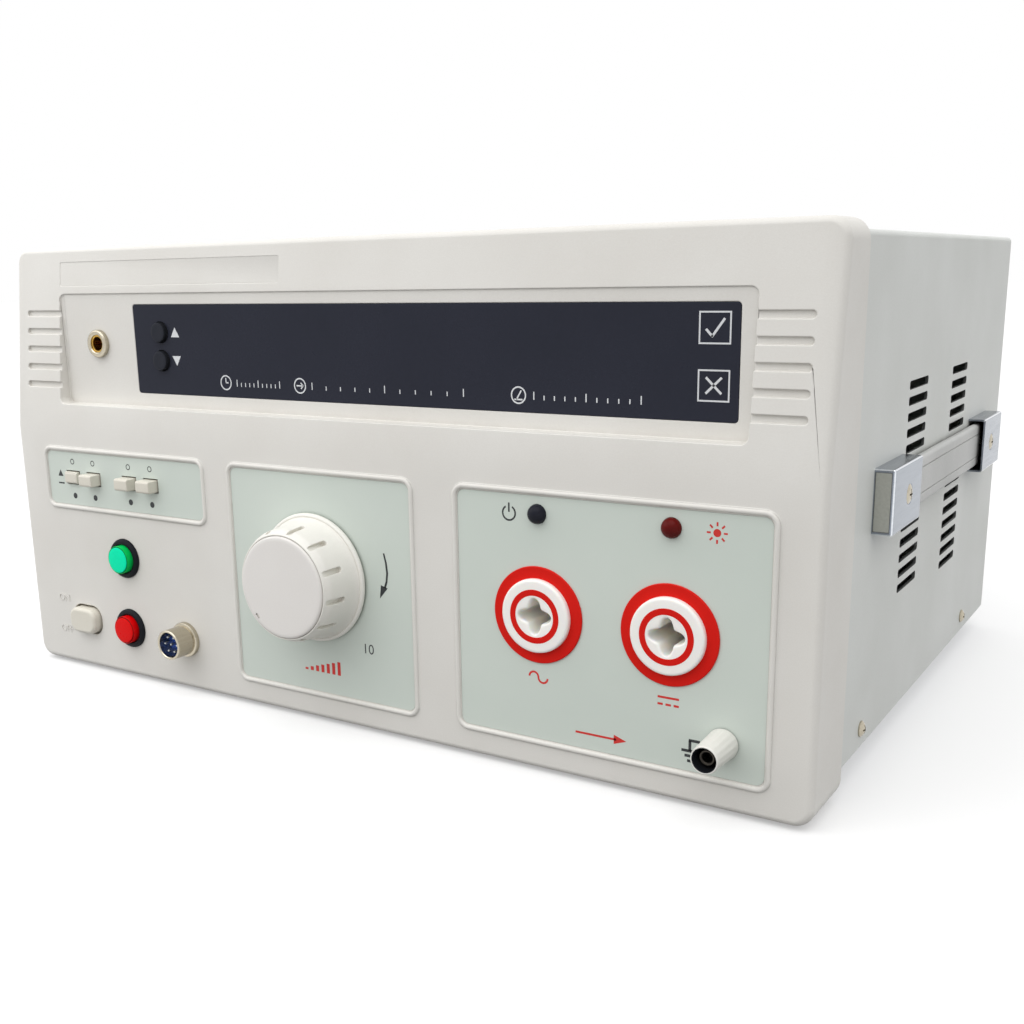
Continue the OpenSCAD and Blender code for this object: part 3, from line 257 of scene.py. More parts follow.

# %% [markdown]
# Dust and handling grime collect where a cloth does not reach, and the same corners lie in shade.
# Ambient occlusion finds those corners and the dust colour darkens them, so this is dust and painted
# shade together; a noise breaks the edge of the stain so that it does not look drawn on.

# %% Corner dust and shade group
CORNER_DUST_SHADE, inlet, outlet = shader_group("corner_dust_and_shade", [("Reach", 0.004)], [("DustShade", "NodeSocketFloat")])
tree = CORNER_DUST_SHADE
hollow = tree.nodes.new("ShaderNodeAmbientOcclusion")
hollow.samples = 6
tree.links.new(inlet.outputs["Reach"], hollow.inputs["Distance"])
spots = noise_of(tree, tree.nodes.new("ShaderNodeTexCoord").outputs["Object"], 180, 4)
depth = tree.nodes.new("ShaderNodeMapRange")
depth.inputs["From Min"].default_value, depth.inputs["From Max"].default_value = 0.75, 0.15
tree.links.new(hollow.outputs["AO"], depth.inputs["Value"])
patchy = tree.nodes.new("ShaderNodeMath")
patchy.operation = "MULTIPLY"
tree.links.new(depth.outputs["Result"], patchy.inputs[0])
tree.links.new(spots, patchy.inputs[1])
tree.links.new(patchy.outputs[0], outlet.inputs["DustShade"])
print("group", CORNER_DUST_SHADE.name)

# %% [markdown]
# Plated and drawn metal shows fine lines along the way it was rolled or turned. Squeezing the
# coordinates in two directions before the noise stretches it into such lines.

# %% Drawn metal group
DRAWN_LINES, inlet, outlet = shader_group(
    "drawn_lines", [("Depth", 0.000006)],
    [("Normal", "NodeSocketVector"), ("Streak", "NodeSocketFloat")])
tree = DRAWN_LINES
squeeze = tree.nodes.new("ShaderNodeVectorMath")
squeeze.operation = "MULTIPLY"
squeeze.inputs[1].default_value = (900, 60, 900)
tree.links.new(tree.nodes.new("ShaderNodeTexCoord").outputs["Object"], squeeze.inputs[0])
lines = noise_of(tree, squeeze.outputs["Vector"], 1, 4)
bump = tree.nodes.new("ShaderNodeBump")
tree.links.new(inlet.outputs["Depth"], bump.inputs["Distance"])
tree.links.new(lines, bump.inputs["Height"])
tree.links.new(bump.outputs["Normal"], outlet.inputs["Normal"])
tree.links.new(lines, outlet.inputs["Streak"])
print("group", DRAWN_LINES.name)

# %% [markdown]
# Two recipes turn the groups into finishes. Both take the colour as it is seen, in 0 to 255
# values, and set anything that is the same all over straight on the shader's own sockets.

# %% Finish recipes
MIX_FACTOR, MIX_A, MIX_B, MIX_OUT = 0, 6, 7, 2     # colour sockets of a Mix node


def seen(red, green, blue):
    """Linear colour of a colour as it is seen on a screen."""
    return tuple(((c / 255 + 0.055) / 1.055) ** 2.4 for c in (red, green, blue)) + (1.0,)


def colour_mix(tree, factor, a, b):
    """A colour mix node; a may be a colour or a socket."""
    mix = tree.nodes.new("ShaderNodeMix")
    mix.data_type = "RGBA"
    tree.links.new(factor, mix.inputs[MIX_FACTOR])
    if isinstance(a, tuple):
        mix.inputs[MIX_A].default_value = a
    else:
        tree.links.new(a, mix.inputs[MIX_A])
    mix.inputs[MIX_B].default_value = b
    return mix.outputs[MIX_OUT]


def start_finish(name, group, mask, colours, rough, settings, sockets):
    """A material whose colour and roughness follow one mask of a group."""
    mat = bpy.data.materials.new(name)
    mat.use_nodes = True
    tree = mat.node_tree
    shader = tree.nodes["Principled BSDF"]
    skin = tree.nodes.new("ShaderNodeGroup")
    skin.node_tree = group
    for label, value in settings.items():
        skin.inputs[label].default_value = value
    spread = tree.nodes.new("ShaderNodeMapRange")
    spread.inputs["From Min"].default_value, spread.inputs["From Max"].default_value = 0.3, 0.7
    tree.links.new(skin.outputs[mask], spread.inputs["Value"])
    gloss = tree.nodes.new("ShaderNodeMapRange")
    gloss.inputs["To Min"].default_value, gloss.inputs["To Max"].default_value = rough
    tree.links.new(spread.outputs["Result"], gloss.inputs["Value"])
    tree.links.new(gloss.outputs["Result"], shader.inputs["Roughness"])
    tree.links.new(skin.outputs["Normal"], shader.inputs["Normal"])
    colour = colour_mix(tree, spread.outputs["Result"], seen(*colours[0]), seen(*colours[1]))
    tree.links.new(colour, shader.inputs["Base Color"])
    for label, value in sockets.items():
        shader.inputs[label].default_value = value
    return mat, tree, shader, colour


def skinned(name, light, dark, rough, scale, depth, dust_shade=None, reach=0.004, **sockets):
    """Plastic, paint or rubber: grain, a mottled tone and, if given, dust and painted shade in the corners.
    """
    mat, tree, shader, colour = start_finish(
        name, FINE_GRAIN, "Mottle", (light, dark), rough, {"Scale": scale, "Depth": depth}, sockets)
    # Corners darken towards the dust colour: dust and painted shade.
    if dust_shade:
        corners = tree.nodes.new("ShaderNodeGroup")
        corners.node_tree = CORNER_DUST_SHADE
        corners.inputs["Reach"].default_value = reach
        dusty_shaded = colour_mix(tree, corners.outputs["DustShade"], colour, seen(*dust_shade))
        tree.links.new(dusty_shaded, shader.inputs["Base Color"])
    return mat


def metallic(name, light, dark, rough, depth):
    """Bright metal with drawn lines."""
    return start_finish(name, DRAWN_LINES, "Streak", (light, dark), rough, {"Depth": depth},
                        {"Metallic": 1.0})[0]


FINISH = {}


def add_finishes(*makers):
    """Makes each finish and keeps it under its function's name."""
    for make in makers:
        FINISH[make.__name__] = make()
    print("finishes:", ", ".join(make.__name__ for make in makers))


print("finish recipes ready")

# %% [markdown]
# The large surfaces set the look: a warm off-white moulding with a fine matt texture, cooler grey
# spray paint on the sheet case, and pale green film behind the controls. Each finish is a short
# function with a light and a dark tone that the mottle mixes, because one flat colour looks unreal.

# %% Housing finishes
DULL = {"Specular IOR Level": 0.08}     # keeps deep colours from being washed out by the white sky


def bezel_plastic():
    return skinned("bezel_plastic", (226, 224, 219), (218, 215, 209), (0.42, 0.56), 1700, 0.00003,
                   dust_shade=(150, 143, 128))


def case_paint():
    return skinned("case_paint", (218, 220, 217), (211, 213, 209), (0.45, 0.6), 1100, 0.00004,
                   dust_shade=(140, 140, 134))


# The dark edge of cut sheet, darkened further as painted shade; it also draws the caps' fold line.
def sheet_edge_shade():
    return skinned("sheet_edge_shade", (84, 86, 84), (70, 72, 70), (0.5, 0.65), 1100, 0.00004)


def label_film():
    return skinned("label_film", (208, 216, 208), (202, 211, 203), (0.33, 0.45), 2600, 0.000012,
                   dust_shade=(148, 158, 148), reach=0.003)


def smoked_window():
    return skinned("smoked_window", (46, 48, 59), (42, 44, 54), (0.24, 0.34), 600, 0.000002,
                   **DULL)


def rubber():
    return skinned("rubber", (34, 34, 35), (26, 26, 27), (0.7, 0.9), 900, 0.00005, dust_shade=(92, 88, 80))


add_finishes(bezel_plastic, case_paint, sheet_edge_shade, label_film, smoked_window, rubber)

# %% [markdown]
# Controls are moulded in through-coloured plastic. A lit cap is a pale lens in a deeper skirt, so it
# needs two finishes. Deep colours are kept dull, or they would mirror the white studio.

# %% Control finishes
def black_plastic():
    return skinned("black_plastic", (33, 35, 40), (25, 27, 32), (0.35, 0.5), 1400, 0.00002,
                   dust_shade=(50, 49, 48), **DULL)


# The dish's greyer tone is a painted sheen on black plastic.
def timer_dish_sheen():
    return skinned("timer_dish_sheen", (44, 46, 54), (38, 40, 47), (0.35, 0.5), 1400, 0.000012, **DULL)


def key_plastic():
    return skinned("key_plastic", (221, 217, 205), (213, 208, 195), (0.32, 0.46), 1500, 0.000015,
                   dust_shade=(170, 160, 140), reach=0.002)


def knob_plastic():
    return skinned("knob_plastic", (238, 236, 230), (231, 229, 222), (0.38, 0.5), 1600, 0.00002,
                   dust_shade=(166, 158, 138), reach=0.003)


def knob_face():
    return skinned("knob_face", (231, 228, 224), (225, 221, 217), (0.36, 0.48), 1600, 0.000015,
                   dust_shade=(160, 155, 146), reach=0.002)


def green_cap():
    return skinned("green_cap", (8, 248, 194), (4, 236, 178), (0.24, 0.34), 900, 0.000008, **DULL)


def red_cap():
    return skinned("red_cap", (234, 20, 20), (216, 14, 14), (0.24, 0.34), 900, 0.000008, **DULL)


def green_skirt():
    return skinned("green_skirt", (2, 206, 98), (0, 192, 86), (0.24, 0.34), 900, 0.000008, **DULL)


def red_skirt():
    return skinned("red_skirt", (222, 2, 8), (206, 0, 6), (0.24, 0.34), 900, 0.000008, **DULL)


def blue_plastic():
    return skinned("blue_plastic", (30, 84, 186), (20, 62, 150), (0.35, 0.5), 1400, 0.00001)


def strap_grey():
    return skinned("strap_grey", (197, 197, 195), (187, 188, 186), (0.42, 0.58), 1000, 0.00005,
                   dust_shade=(110, 110, 106))


add_finishes(black_plastic, timer_dish_sheen, key_plastic, knob_plastic, knob_face, green_cap, green_skirt,
             red_cap, red_skirt, blue_plastic, strap_grey)

# %% [markdown]
# Insulators are thick white plastic that light soaks into, which subsurface scattering shows. The
# lenses of the unlit lamps are dark and polished.

# %% Output finishes
def milky(weight, scale):
    """Socket values that let light spread under a white surface."""
    return {"Subsurface Weight": weight, "Subsurface Radius": (1.0, 0.75, 0.5), "Subsurface Scale": scale}


def white_insulator():
    return skinned("white_insulator", (254, 251, 246), (250, 246, 240), (0.25, 0.38), 1200, 0.000012,
                   **milky(0.2, 0.003))


# A warmer copy of the insulator with deeper subsurface, so the plug opening looks lighter: painted light.
def socket_throat_lit():
    return skinned("socket_throat_lit", (255, 249, 240), (254, 245, 234), (0.4, 0.5), 1200, 0.000012,
                   **milky(0.9, 0.009))


def post_plastic():
    return skinned("post_plastic", (230, 229, 223), (222, 221, 214), (0.3, 0.42), 1200, 0.000012,
                   dust_shade=(150, 146, 132))


def red_disc():
    return skinned("red_disc", (222, 34, 26), (208, 26, 20), (0.35, 0.5), 1500, 0.000012, **DULL)


def dark_lens():
    return skinned("dark_lens", (40, 41, 50), (28, 29, 38), (0.1, 0.18), 500, 0.000004, **DULL)


def red_lens():
    return skinned("red_lens", (110, 22, 20), (84, 14, 12), (0.1, 0.18), 500, 0.000004, **DULL)


add_finishes(white_insulator, socket_throat_lit, post_plastic, red_disc, dark_lens, red_lens)

# %% [markdown]
# All metals share the drawn lines. They differ in tint, in how rough they are and in how deep the
# lines go: chrome is nearly smooth, the winding is coarse.

# %% Metal finishes
def nickel():
    return metallic("nickel", (192, 184, 166), (184, 176, 158), (0.18, 0.28), 0.000001)


def dark_metal():
    return metallic("dark_metal", (74, 70, 64), (60, 56, 52), (0.35, 0.5), 0.000004)


def brass():
    return metallic("brass", (214, 176, 92), (190, 148, 70), (0.2, 0.34), 0.000004)


def chrome():
    return metallic("chrome", (140, 147, 157), (136, 143, 153), (0.16, 0.22), 0.0000003)


# Brighter chrome for the caps' rounded edges: a painted highlight.
def chrome_edge_highlight():
    return metallic("chrome_edge_highlight", (226, 229, 233), (214, 218, 223), (0.1, 0.18), 0.0000003)


# A duller metal for the caps' end faces: a painted dim reflection.
def cap_end_dim_reflection():
    return metallic("cap_end_dim_reflection", (178, 179, 172), (170, 171, 164), (0.35, 0.5), 0.000001)


def zinc_steel():
    return metallic("zinc_steel", (196, 200, 204), (172, 177, 182), (0.3, 0.46), 0.000006)


def copper_winding():
    return metallic("copper_winding", (196, 122, 76), (160, 92, 54), (0.3, 0.5), 0.00005)


def core_iron():
    return metallic("core_iron", (112, 112, 116), (84, 84, 90), (0.45, 0.65), 0.00003)


add_finishes(nickel, dark_metal, brass, chrome, chrome_edge_highlight, cap_end_dim_reflection, zinc_steel, copper_winding, core_iron)

# %% [markdown]
# The inside shows only through the vents and when a piece is taken off, so its four finishes are plain:
# the wrap of the coil, cast resin, the rubber of the output leads and the green of the boards.

# %% Inside finishes
def coil_wrap():
    return skinned("coil_wrap", (206, 182, 104), (184, 158, 82), (0.4, 0.6), 700, 0.00004,
                   dust_shade=(120, 104, 60))


def epoxy():
    return skinned("epoxy", (46, 46, 50), (34, 34, 38), (0.3, 0.55), 500, 0.00004)


def lead_rubber():
    return skinned("lead_rubber", (190, 40, 36), (168, 30, 28), (0.4, 0.55), 900, 0.00001)


def board_green():
    return skinned("board_green", (30, 104, 62), (22, 84, 50), (0.35, 0.5), 700, 0.00002)


add_finishes(coil_wrap, epoxy, lead_rubber, board_green)

# %% [markdown]
# The solids that are right as they come keep their shape and only take their finish. The record
# lists the slot of each node, so one loop dresses them all.

# %% Dress the CAD nodes
for part in frame["record"]["subparts"]:
    for place in frame["nodes"][part["node"]].material_slots:
        place.material = FINISH[part["material_slot"]]

# %% [markdown]
# ## Modelling helpers
# Round parts are turned: a few points of half a section are spun about an axis. Blocks start as a
# cube. Sharp edges are rounded with a bevel, because real edges catch a line of light. Holes that
# no operator gives are cut with a boolean.

# %% Shape helpers
def turned(profile, x, z, steps=64):
    """Spins (radius, depth) points about the line through (x, z) that runs into the panel."""
    bm = bmesh.new()
    points = [bm.verts.new((x + radius, y, z)) for radius, y in profile]
    edges = [bm.edges.new(pair) for pair in zip(points, points[1:])]
    bmesh.ops.spin(bm, geom=points + edges, cent=(x, 0, z), axis=(0, 1, 0), angle=math.tau,
                   steps=steps, use_merge=True)
    bmesh.ops.remove_doubles(bm, verts=bm.verts, dist=0.001)
    return bm


def ring(profile, x, z, steps=64):
    """A turned ring: the profile is closed on itself."""
    return turned(profile + profile[:1], x, z, steps)


def block(low, high):
    """A box between two corners."""
    low, high = Vector(low), Vector(high)
    bm = bmesh.new()
    bmesh.ops.create_cube(bm, size=1, matrix=Matrix.Translation((low + high) / 2)
                          @ Matrix.Diagonal((*(high - low), 1)))
    return bm


def round_edges(bm, width, segments=3, angle=30, where=None):
    """Bevels the edges that turn by more than an angle, or those of them that a test picks."""
    limit = math.radians(angle)
    sharp = [e for e in bm.edges if len(e.link_faces) == 2 and e.calc_face_angle(0) > limit
             and (where is None or where((e.verts[0].co + e.verts[1].co) / 2, e))]
    bmesh.ops.bevel(bm, geom=sharp, affect="EDGES", offset=width, offset_type="OFFSET",
                    segments=segments, profile=0.5, material=-1, clamp_overlap=False, loop_slide=True)
    return bm


def join(*parts):
    """Several meshes as one."""
    whole = bmesh.new()
    for part in parts:
        mesh = bpy.data.meshes.new("part")
        part.to_mesh(mesh)
        part.free()
        whole.from_mesh(mesh)
        bpy.data.meshes.remove(mesh)
    return whole


def second_finish(bm, test, index=1):
    """Gives another of the piece's finishes to the faces whose middle passes a test."""
    for face in bm.faces:
        if test(face.calc_center_median()):
            face.material_index = index


def off_axis(point, spot):
    """How far a point lies from the line that runs into the panel at a spot."""
    return math.hypot(point.x - spot[0], point.z - spot[1])


def along(axis):
    """A test for edges that run along one axis."""
    return lambda mid, edge: abs(getattr(edge.verts[0].co, axis) - getattr(edge.verts[1].co, axis)) > 1


def copy_of(node):
    """A CAD node's mesh in panel millimetres, with its loose triangles merged into flat faces."""
    bm = bmesh.new()
    bm.from_mesh(frame["nodes"][node].data)
    bm.transform(TO_PANEL)
    bmesh.ops.remove_doubles(bm, verts=bm.verts, dist=0.002)
    bmesh.ops.dissolve_limit(bm, angle_limit=math.radians(0.6), verts=bm.verts, edges=bm.edges)
    return bm


print("shape helpers ready")

# %% [markdown]
# A boolean needs real objects, so carving makes two for a moment and keeps only the result. Placing
# takes a finished mesh to the frame, shades it smooth up to an angle, says which body it rides on
# and hides the CAD nodes it stands for.


def scratch(bm):
    """A temporary object made of a mesh."""
    bmesh.ops.recalc_face_normals(bm, faces=bm.faces)
    mesh = bpy.data.meshes.new("scratch")
    bm.to_mesh(mesh)
    bm.free()
    thing = bpy.data.objects.new("scratch", mesh)
    bpy.context.collection.objects.link(thing)
    return thing


def carved(blank, tool):
    """The blank with the tool's shape cut out of it."""
    blank, tool = scratch(blank), scratch(tool)
    cut = blank.modifiers.new("cut", "BOOLEAN")
    cut.object, cut.operation, cut.solver = tool, "DIFFERENCE", "EXACT"
    graph = bpy.context.evaluated_depsgraph_get()
    mesh = bpy.data.meshes.new_from_object(blank.evaluated_get(graph))
    bm = bmesh.new()
    bm.from_mesh(mesh)
    for thing in (blank, tool):
        bpy.data.objects.remove(thing)
    bpy.data.meshes.remove(mesh)
    return bm


def place(bm, name, body, slot, *nodes, smooth=35, extra=(), turn_out=True):
    """Finishes a piece: into the frame, shaded smooth, dressed, and riding on its body."""
    bm.transform(TO_ROW)
    if turn_out:
        bmesh.ops.recalc_face_normals(bm, faces=bm.faces)
    mesh = bpy.data.meshes.new(name)
    bm.to_mesh(mesh)
    bm.free()
    mesh.polygons.foreach_set("use_smooth", [True] * len(mesh.polygons))
    mesh.set_sharp_from_angle(angle=math.radians(smooth))
    for finish in (FINISH[slot], *extra):
        mesh.materials.append(finish)
    thing = bpy.data.objects.new(name, mesh)
    bpy.context.collection.objects.link(thing)
    if body:
        thing.modifiers.new("even_shading", "WEIGHTED_NORMAL").keep_sharp = True
        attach(thing, body)
    if nodes:
        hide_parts(*nodes)
    print(name, len(mesh.polygons), "faces")
    return thing


# %% [markdown]
# ## The front bezel
# The bezel is one large moulding. Its CAD solid already has the recess, beads, grooves and holes,
# so a merged copy is used and only its crisp edges are eased, as a mould's edges are. The shallow
# label pocket in the leaning upper face keeps a sharp floor, since its wall is too low for two bevels,
# and so does all that lies under a label plate.

# %% Bezel
EASE, FRONT_DEPTH, SHORTEST, PLATE_LAND = 0.45, 9.5, 0.05, 1.0
CREASE_Z, LEAN = 126.0, math.atan2(10.0, 90.0)     # from here up the face leans back
LABEL_Z, LABEL_SUNK = 186.0, (0.3, 0.7)            # above this height, the depth of the pocket's floor
PLATES = [panel_box(name + "_label_plate") for name in ("switch", "knob", "output")]
bezel = copy_of("front_bezel")


def eased(mid, edge):
    """True for the front edges, except on the label pocket's floor and round the label plates."""
    sunk = mid.y * math.cos(LEAN) - (mid.z - CREASE_Z) * math.sin(LEAN)
    pocket_floor = mid.z > LABEL_Z and LABEL_SUNK[0] < sunk < LABEL_SUNK[1]
    covered = any(low.x - PLATE_LAND < mid.x < high.x + PLATE_LAND
                  and low.z - PLATE_LAND < mid.z < high.z + PLATE_LAND for low, high in PLATES)
    return mid.y < FRONT_DEPTH and edge.calc_length() > SHORTEST and not pocket_floor and not covered


round_edges(bezel, EASE, segments=2, angle=28, where=eased)
place(bezel, "bezel_moulding", "case", "bezel_plastic", "front_bezel", turn_out=False)

# %% [markdown]
# ## The display window and its buttons
# The window is a polished smoked sheet. A new box would do, but a copy of the CAD sheet keeps the
# fit in its seat, and a fine edge is all it lacks.

# %% Window
WINDOW_FRONT = round(panel_box("display_window")[0].y, 2)
window = round_edges(copy_of("display_window"), 0.25, 2)
place(window, "smoked_sheet", "case", "smoked_window", "display_window")

# %% [markdown]
# The two timer buttons are black and slightly dished. A bevelled cylinder has no dish, so a section is
# turned, which gives the dish, rim and flange at once. The dish takes a second, greyer finish: a
# painted sheen for the light its face catches.

# %% Timer buttons
DISH_R = 4.2
crown = [(0, 6.42), (2.6, 6.4), (3.7, 6.3), (4.35, 6.5), (4.65, 6.95), (4.7, 7.6), (4.7, 10.3), (5.7, 10.3),
         (5.7, 11.3), (1.8, 11.3), (1.8, 17), (0, 17)]
for name in ("timer_up", "timer_down"):
    spot = middle_of(name + "_button")
    cap = turned(crown, *spot)
    # The dish takes the greyer finish, a painted sheen.
    second_finish(cap, lambda mid: off_axis(mid, spot) < DISH_R)
    place(cap, name + "_cap", name + "_body", "black_plastic", name + "_button",
          extra=(FINISH["timer_dish_sheen"],))

# %% [markdown]
# The jack beside the window is a brass bush in a rounded nickel nut. Two nested tubes could stand for
# it, but the roll of the nut is what catches the light, so closed sections are turned.

# %% Small jack
JACK = middle_of("jack_ring")
nut = [(4.35, 6.3), (4.8, 5.95), (5.9, 5.9), (6.5, 6.2), (6.8, 6.75), (6.8, 8.45), (4.45, 8.45),
       (4.45, 16.5), (4.0, 16.5), (4.0, 8.0), (4.35, 8.0)]
place(ring(nut, *JACK), "jack_nut", "case", "nickel", "jack_ring")
bush = [(3.3, 7.4), (3.5, 6.95), (4.25, 6.9), (4.25, 7.9), (3.85, 7.9), (3.85, 22.4), (0, 22.4), (0, 21.4),
        (3.3, 21.4)]
place(ring(bush, *JACK), "jack_bush", "case", "brass", "jack_sleeve")

# %% [markdown]
# ## Push buttons
# A round cap is a pale lens set in a deeper coloured skirt, with a dark gap between them. They could be
# separate rings, but one turned section keeps them in line, and each part of it takes its own finish.
# A black collar holds the cap.

# %% Round buttons
START, RESET = middle_of("start_button"), middle_of("reset_button")
LENS_R, SKIRT_R, SEAM, GAP_Y = 6.5, 6.75, 0.02, -4.95
cap_profile = [(0, -5.55), (4.5, -5.5), (6.1, -5.42), (6.4, -5.25), (LENS_R, -5.0), (LENS_R, -4.3),
               (SKIRT_R, -4.3), (SKIRT_R, -4.85), (6.9, -5.0), (7.05, -4.9), (7.1, -4.6), (7.1, 5),
               (2.5, 5), (2.5, 16), (0, 16)]
for name, spot, tint in (("start", START, "green"), ("reset", RESET, "red")):
    cap = turned(cap_profile, *spot)
    second_finish(cap, lambda mid: off_axis(mid, spot) > LENS_R - SEAM and mid.y > GAP_Y, 2)
    second_finish(cap, lambda mid: off_axis(mid, spot) > SKIRT_R + SEAM)
    place(cap, name + "_cap", name + "_press_body", tint + "_cap", name + "_button",
          extra=(FINISH[tint + "_skirt"], FINISH["black_plastic"]))
collar_profile = [(7.4, 9), (7.4, -1.5), (7.7, -1.9), (8.3, -2.05), (9.0, -1.95), (9.7, -1.5), (10.1, -0.8),
                  (10.15, -0.05), (7.9, -0.05), (7.9, 23), (2.8, 23), (2.8, 9)]
place(join(*(ring(collar_profile, *spot) for spot in (START, RESET))), "push_collars", "case",
      "black_plastic", "button_collars")

# %% [markdown]
# The mains button is a soft pillow. Subdivision would soften a cube too, but it shrinks it. So a block
# first has the edges that run into the panel rounded, and then its front rim. A flange behind the panel
# keeps the button from falling out, and light from passing through the hole. The range keys only need
# eased rims.

# %% Mains button and range keys
POWER, POWER_HALF, FLANGE_HALF, POWER_REACH = middle_of("power_button"), (9.75, 6.7), (10.95, 8.8), 4.5
POWER_BACK, STEM_HALF, STEM_BACK, FLANGE_Y = 8, (2, 2), 22, (3.4, 4.6)


def about_power(half, front, back):
    """A box about the middle of the mains button."""
    return block((POWER[0] - half[0], front, POWER[1] - half[1]),
                 (POWER[0] + half[0], back, POWER[1] + half[1]))


pillow = about_power(POWER_HALF, -POWER_REACH, POWER_BACK)
round_edges(pillow, 5.4, segments=10, angle=60, where=along("y"))
round_edges(pillow, 1.9, segments=5, angle=60, where=lambda mid, edge: mid.y < 0.1 - POWER_REACH)
stem = about_power(STEM_HALF, POWER_BACK, STEM_BACK)
flange = about_power(FLANGE_HALF, *FLANGE_Y)
place(join(pillow, flange, stem), "mains_pillow", "power_press_body", "key_plastic", "power_button")
for number in range(1, 5):
    key = round_edges(copy_of(f"range_button_{number}"), 0.55, where=lambda mid, edge: mid.y < 2.5)
    place(key, f"range_key_{number}", f"range_{number}_body", "key_plastic", f"range_button_{number}")

# %% [markdown]
# ## The remote socket
# A nickel shell with a rolled mouth and a collar at the panel holds a blue insert with seven pins.
# All of it is round, so all of it is turned. The pins are one section, set in the middle and on a
# circle, and they take a brighter finish than the shell.

# %% Remote socket
REMOTE = middle_of("remote_shell")
shell = [(6.2, 12), (6.2, -12.1), (6.5, -12.45), (7.1, -12.45), (7.45, -12.1), (7.5, -11.4), (7.5, -2.3),
         (8.1, -2.2), (8.6, -1.9), (8.8, -1.4), (8.8, -0.05), (7.5, -0.05), (7.5, 12)]
place(ring(shell, *REMOTE), "remote_barrel", "case", "nickel", "remote_shell")
insert = round_edges(turned([(0, -6), (6.15, -6), (6.15, 11), (0, 11)], *REMOTE), 0.4)
place(insert, "remote_core", "case", "blue_plastic", "remote_insert")
PIN_CIRCLE = 4.0
pin = [(0, -10.8), (0.4, -10.7), (0.62, -10.3), (0.65, -9.8), (0.65, 15), (0, 15)]
spots = [(0, 0)] + [(PIN_CIRCLE * math.cos(a), PIN_CIRCLE * math.sin(a)) for a in
                    (math.radians(60 * i) for i in range(6))]
pins = join(*(turned(pin, REMOTE[0] + dx, REMOTE[1] + dz, 16) for dx, dz in spots))
second_finish(pins, lambda mid: True)
place(pins, "remote_contacts", "case", "nickel", "remote_pins", extra=(FINISH["zinc_steel"],))

# %% [markdown]
# ## The voltage knob
# The knob flares in a smooth hollow to a rounded skirt, and twelve finger pockets are let into its
# side. The section is turned. The pockets could be pressed in by moving vertices, but cut ones have
# crisp rims, so twelve rounded tools are joined and cut in one boolean.

# %% Knob body
KNOB = middle_of("voltage_knob")
knob_section = [(4.05, -0.5), (28.7, -0.5), (29.2, -0.65), (29.45, -1.05), (29.5, -1.6), (29.4, -2.15),
                (29.1, -2.6), (28.65, -2.85), (28.2, -2.85), (27.85, -2.65), (27.5, -3.2), (27.1, -4.1),
                (26.8, -5.2), (26.5, -6.8), (26.15, -9.5), (25.75, -13), (25.4, -17), (25.3, -18.2),
                (25.15, -18.8), (24.9, -19.4), (23.95, -21.5), (23.6, -21.95), (23.25, -21.95), (23.1, -21.8),
                (23.05, -21.0), (4.05, -21.0)]
knob = ring(knob_section, *KNOB, steps=144)
POCKETS, POCKET_TURN, POCKET_R, POCKET_ENDS, POCKET_FLOOR = 12, 10, 1.2, (-19.9, -11.6), 23.7
POCKET_BAND, POCKET_RIM = (-21.8, -10.0), POCKET_FLOOR + 0.45


def pocket_tool(angle):
    """A slot cutter with round ends, standing on the knob's side at an angle."""
    tool = block((-POCKET_R, POCKET_ENDS[0] - POCKET_R, POCKET_FLOOR),
                 (POCKET_R, POCKET_ENDS[1] + POCKET_R, 30))
    round_edges(tool, POCKET_R - 0.02, segments=6, angle=60, where=along("z"))
    round_edges(tool, 0.3, angle=60, where=lambda mid, edge: mid.z < POCKET_FLOOR + 0.1)
    tool.transform(Matrix.Translation((KNOB[0], 0, KNOB[1])) @ Matrix.Rotation(angle, 4, "Y"))
    return tool


tools = join(*(pocket_tool(math.radians(POCKET_TURN + 360 * i / POCKETS)) for i in range(POCKETS)))
knob = carved(knob, tools)
round_edges(knob, 0.3, segments=2, angle=40, where=lambda mid, edge:
            POCKET_BAND[0] < mid.y < POCKET_BAND[1] and off_axis(mid, KNOB) > POCKET_RIM)
place(knob, "knob_body", "knob_turning", "knob_plastic", "voltage_knob", smooth=40)

# %% [markdown]
# A thin disc closes the knob's face. It is a piece of its own, because a real one is pressed in and
# leaves a fine line round it. The small notch at its edge, where it is prised out, is carved.

# %% Knob face
face_section = [(0, -23), (20.6, -23), (22.0, -22.9), (22.6, -22.6), (22.9, -22.1), (22.95, -21.05),
                (0, -21.05)]
face = turned(face_section, *KNOB, steps=96)
notch = block((-21.0, -24, -1.3), (-19.8, -22.3, 1.3))
notch.transform(Matrix.Translation((KNOB[0], 0, KNOB[1])) @ Matrix.Rotation(math.radians(-45), 4, "Y"))
place(carved(face, notch), "knob_disc", "knob_turning", "knob_face", "knob_cap")

# %% [markdown]
# ## Lamps
# Each lens is a dome with a stepped stem behind the panel. A sphere would waste half its faces inside
# the case, so a quarter circle and the stem are one section, which is turned.

# %% Lamps
LAMP_R = 4.0
dome = [(LAMP_R * math.sin(a), PLATE_FRONT - LAMP_R * math.cos(a))
        for a in (math.radians(9 * i) for i in range(11))]
lamp_stem = [(LAMP_R, 3), (4.7, 3), (4.7, 4.5), (LAMP_R, 4.5), (LAMP_R, 9), (0, 9)]
for name, finish in (("ready_lamp", "dark_lens"), ("danger_lamp", "red_lens")):
    place(turned(dome + lamp_stem, *middle_of(name)), name + "_lens", "case", finish, name)

# %% [markdown]
# ## Output sockets
# White insulators stand on red discs. The plug opening has four lobes and a soft rim. Such a shape
# can be grown ring by ring: a disc at the bottom of the hole is extruded along its edge, and each
# new ring is set to a radius that swells and shrinks four times a turn, or not at all outside.

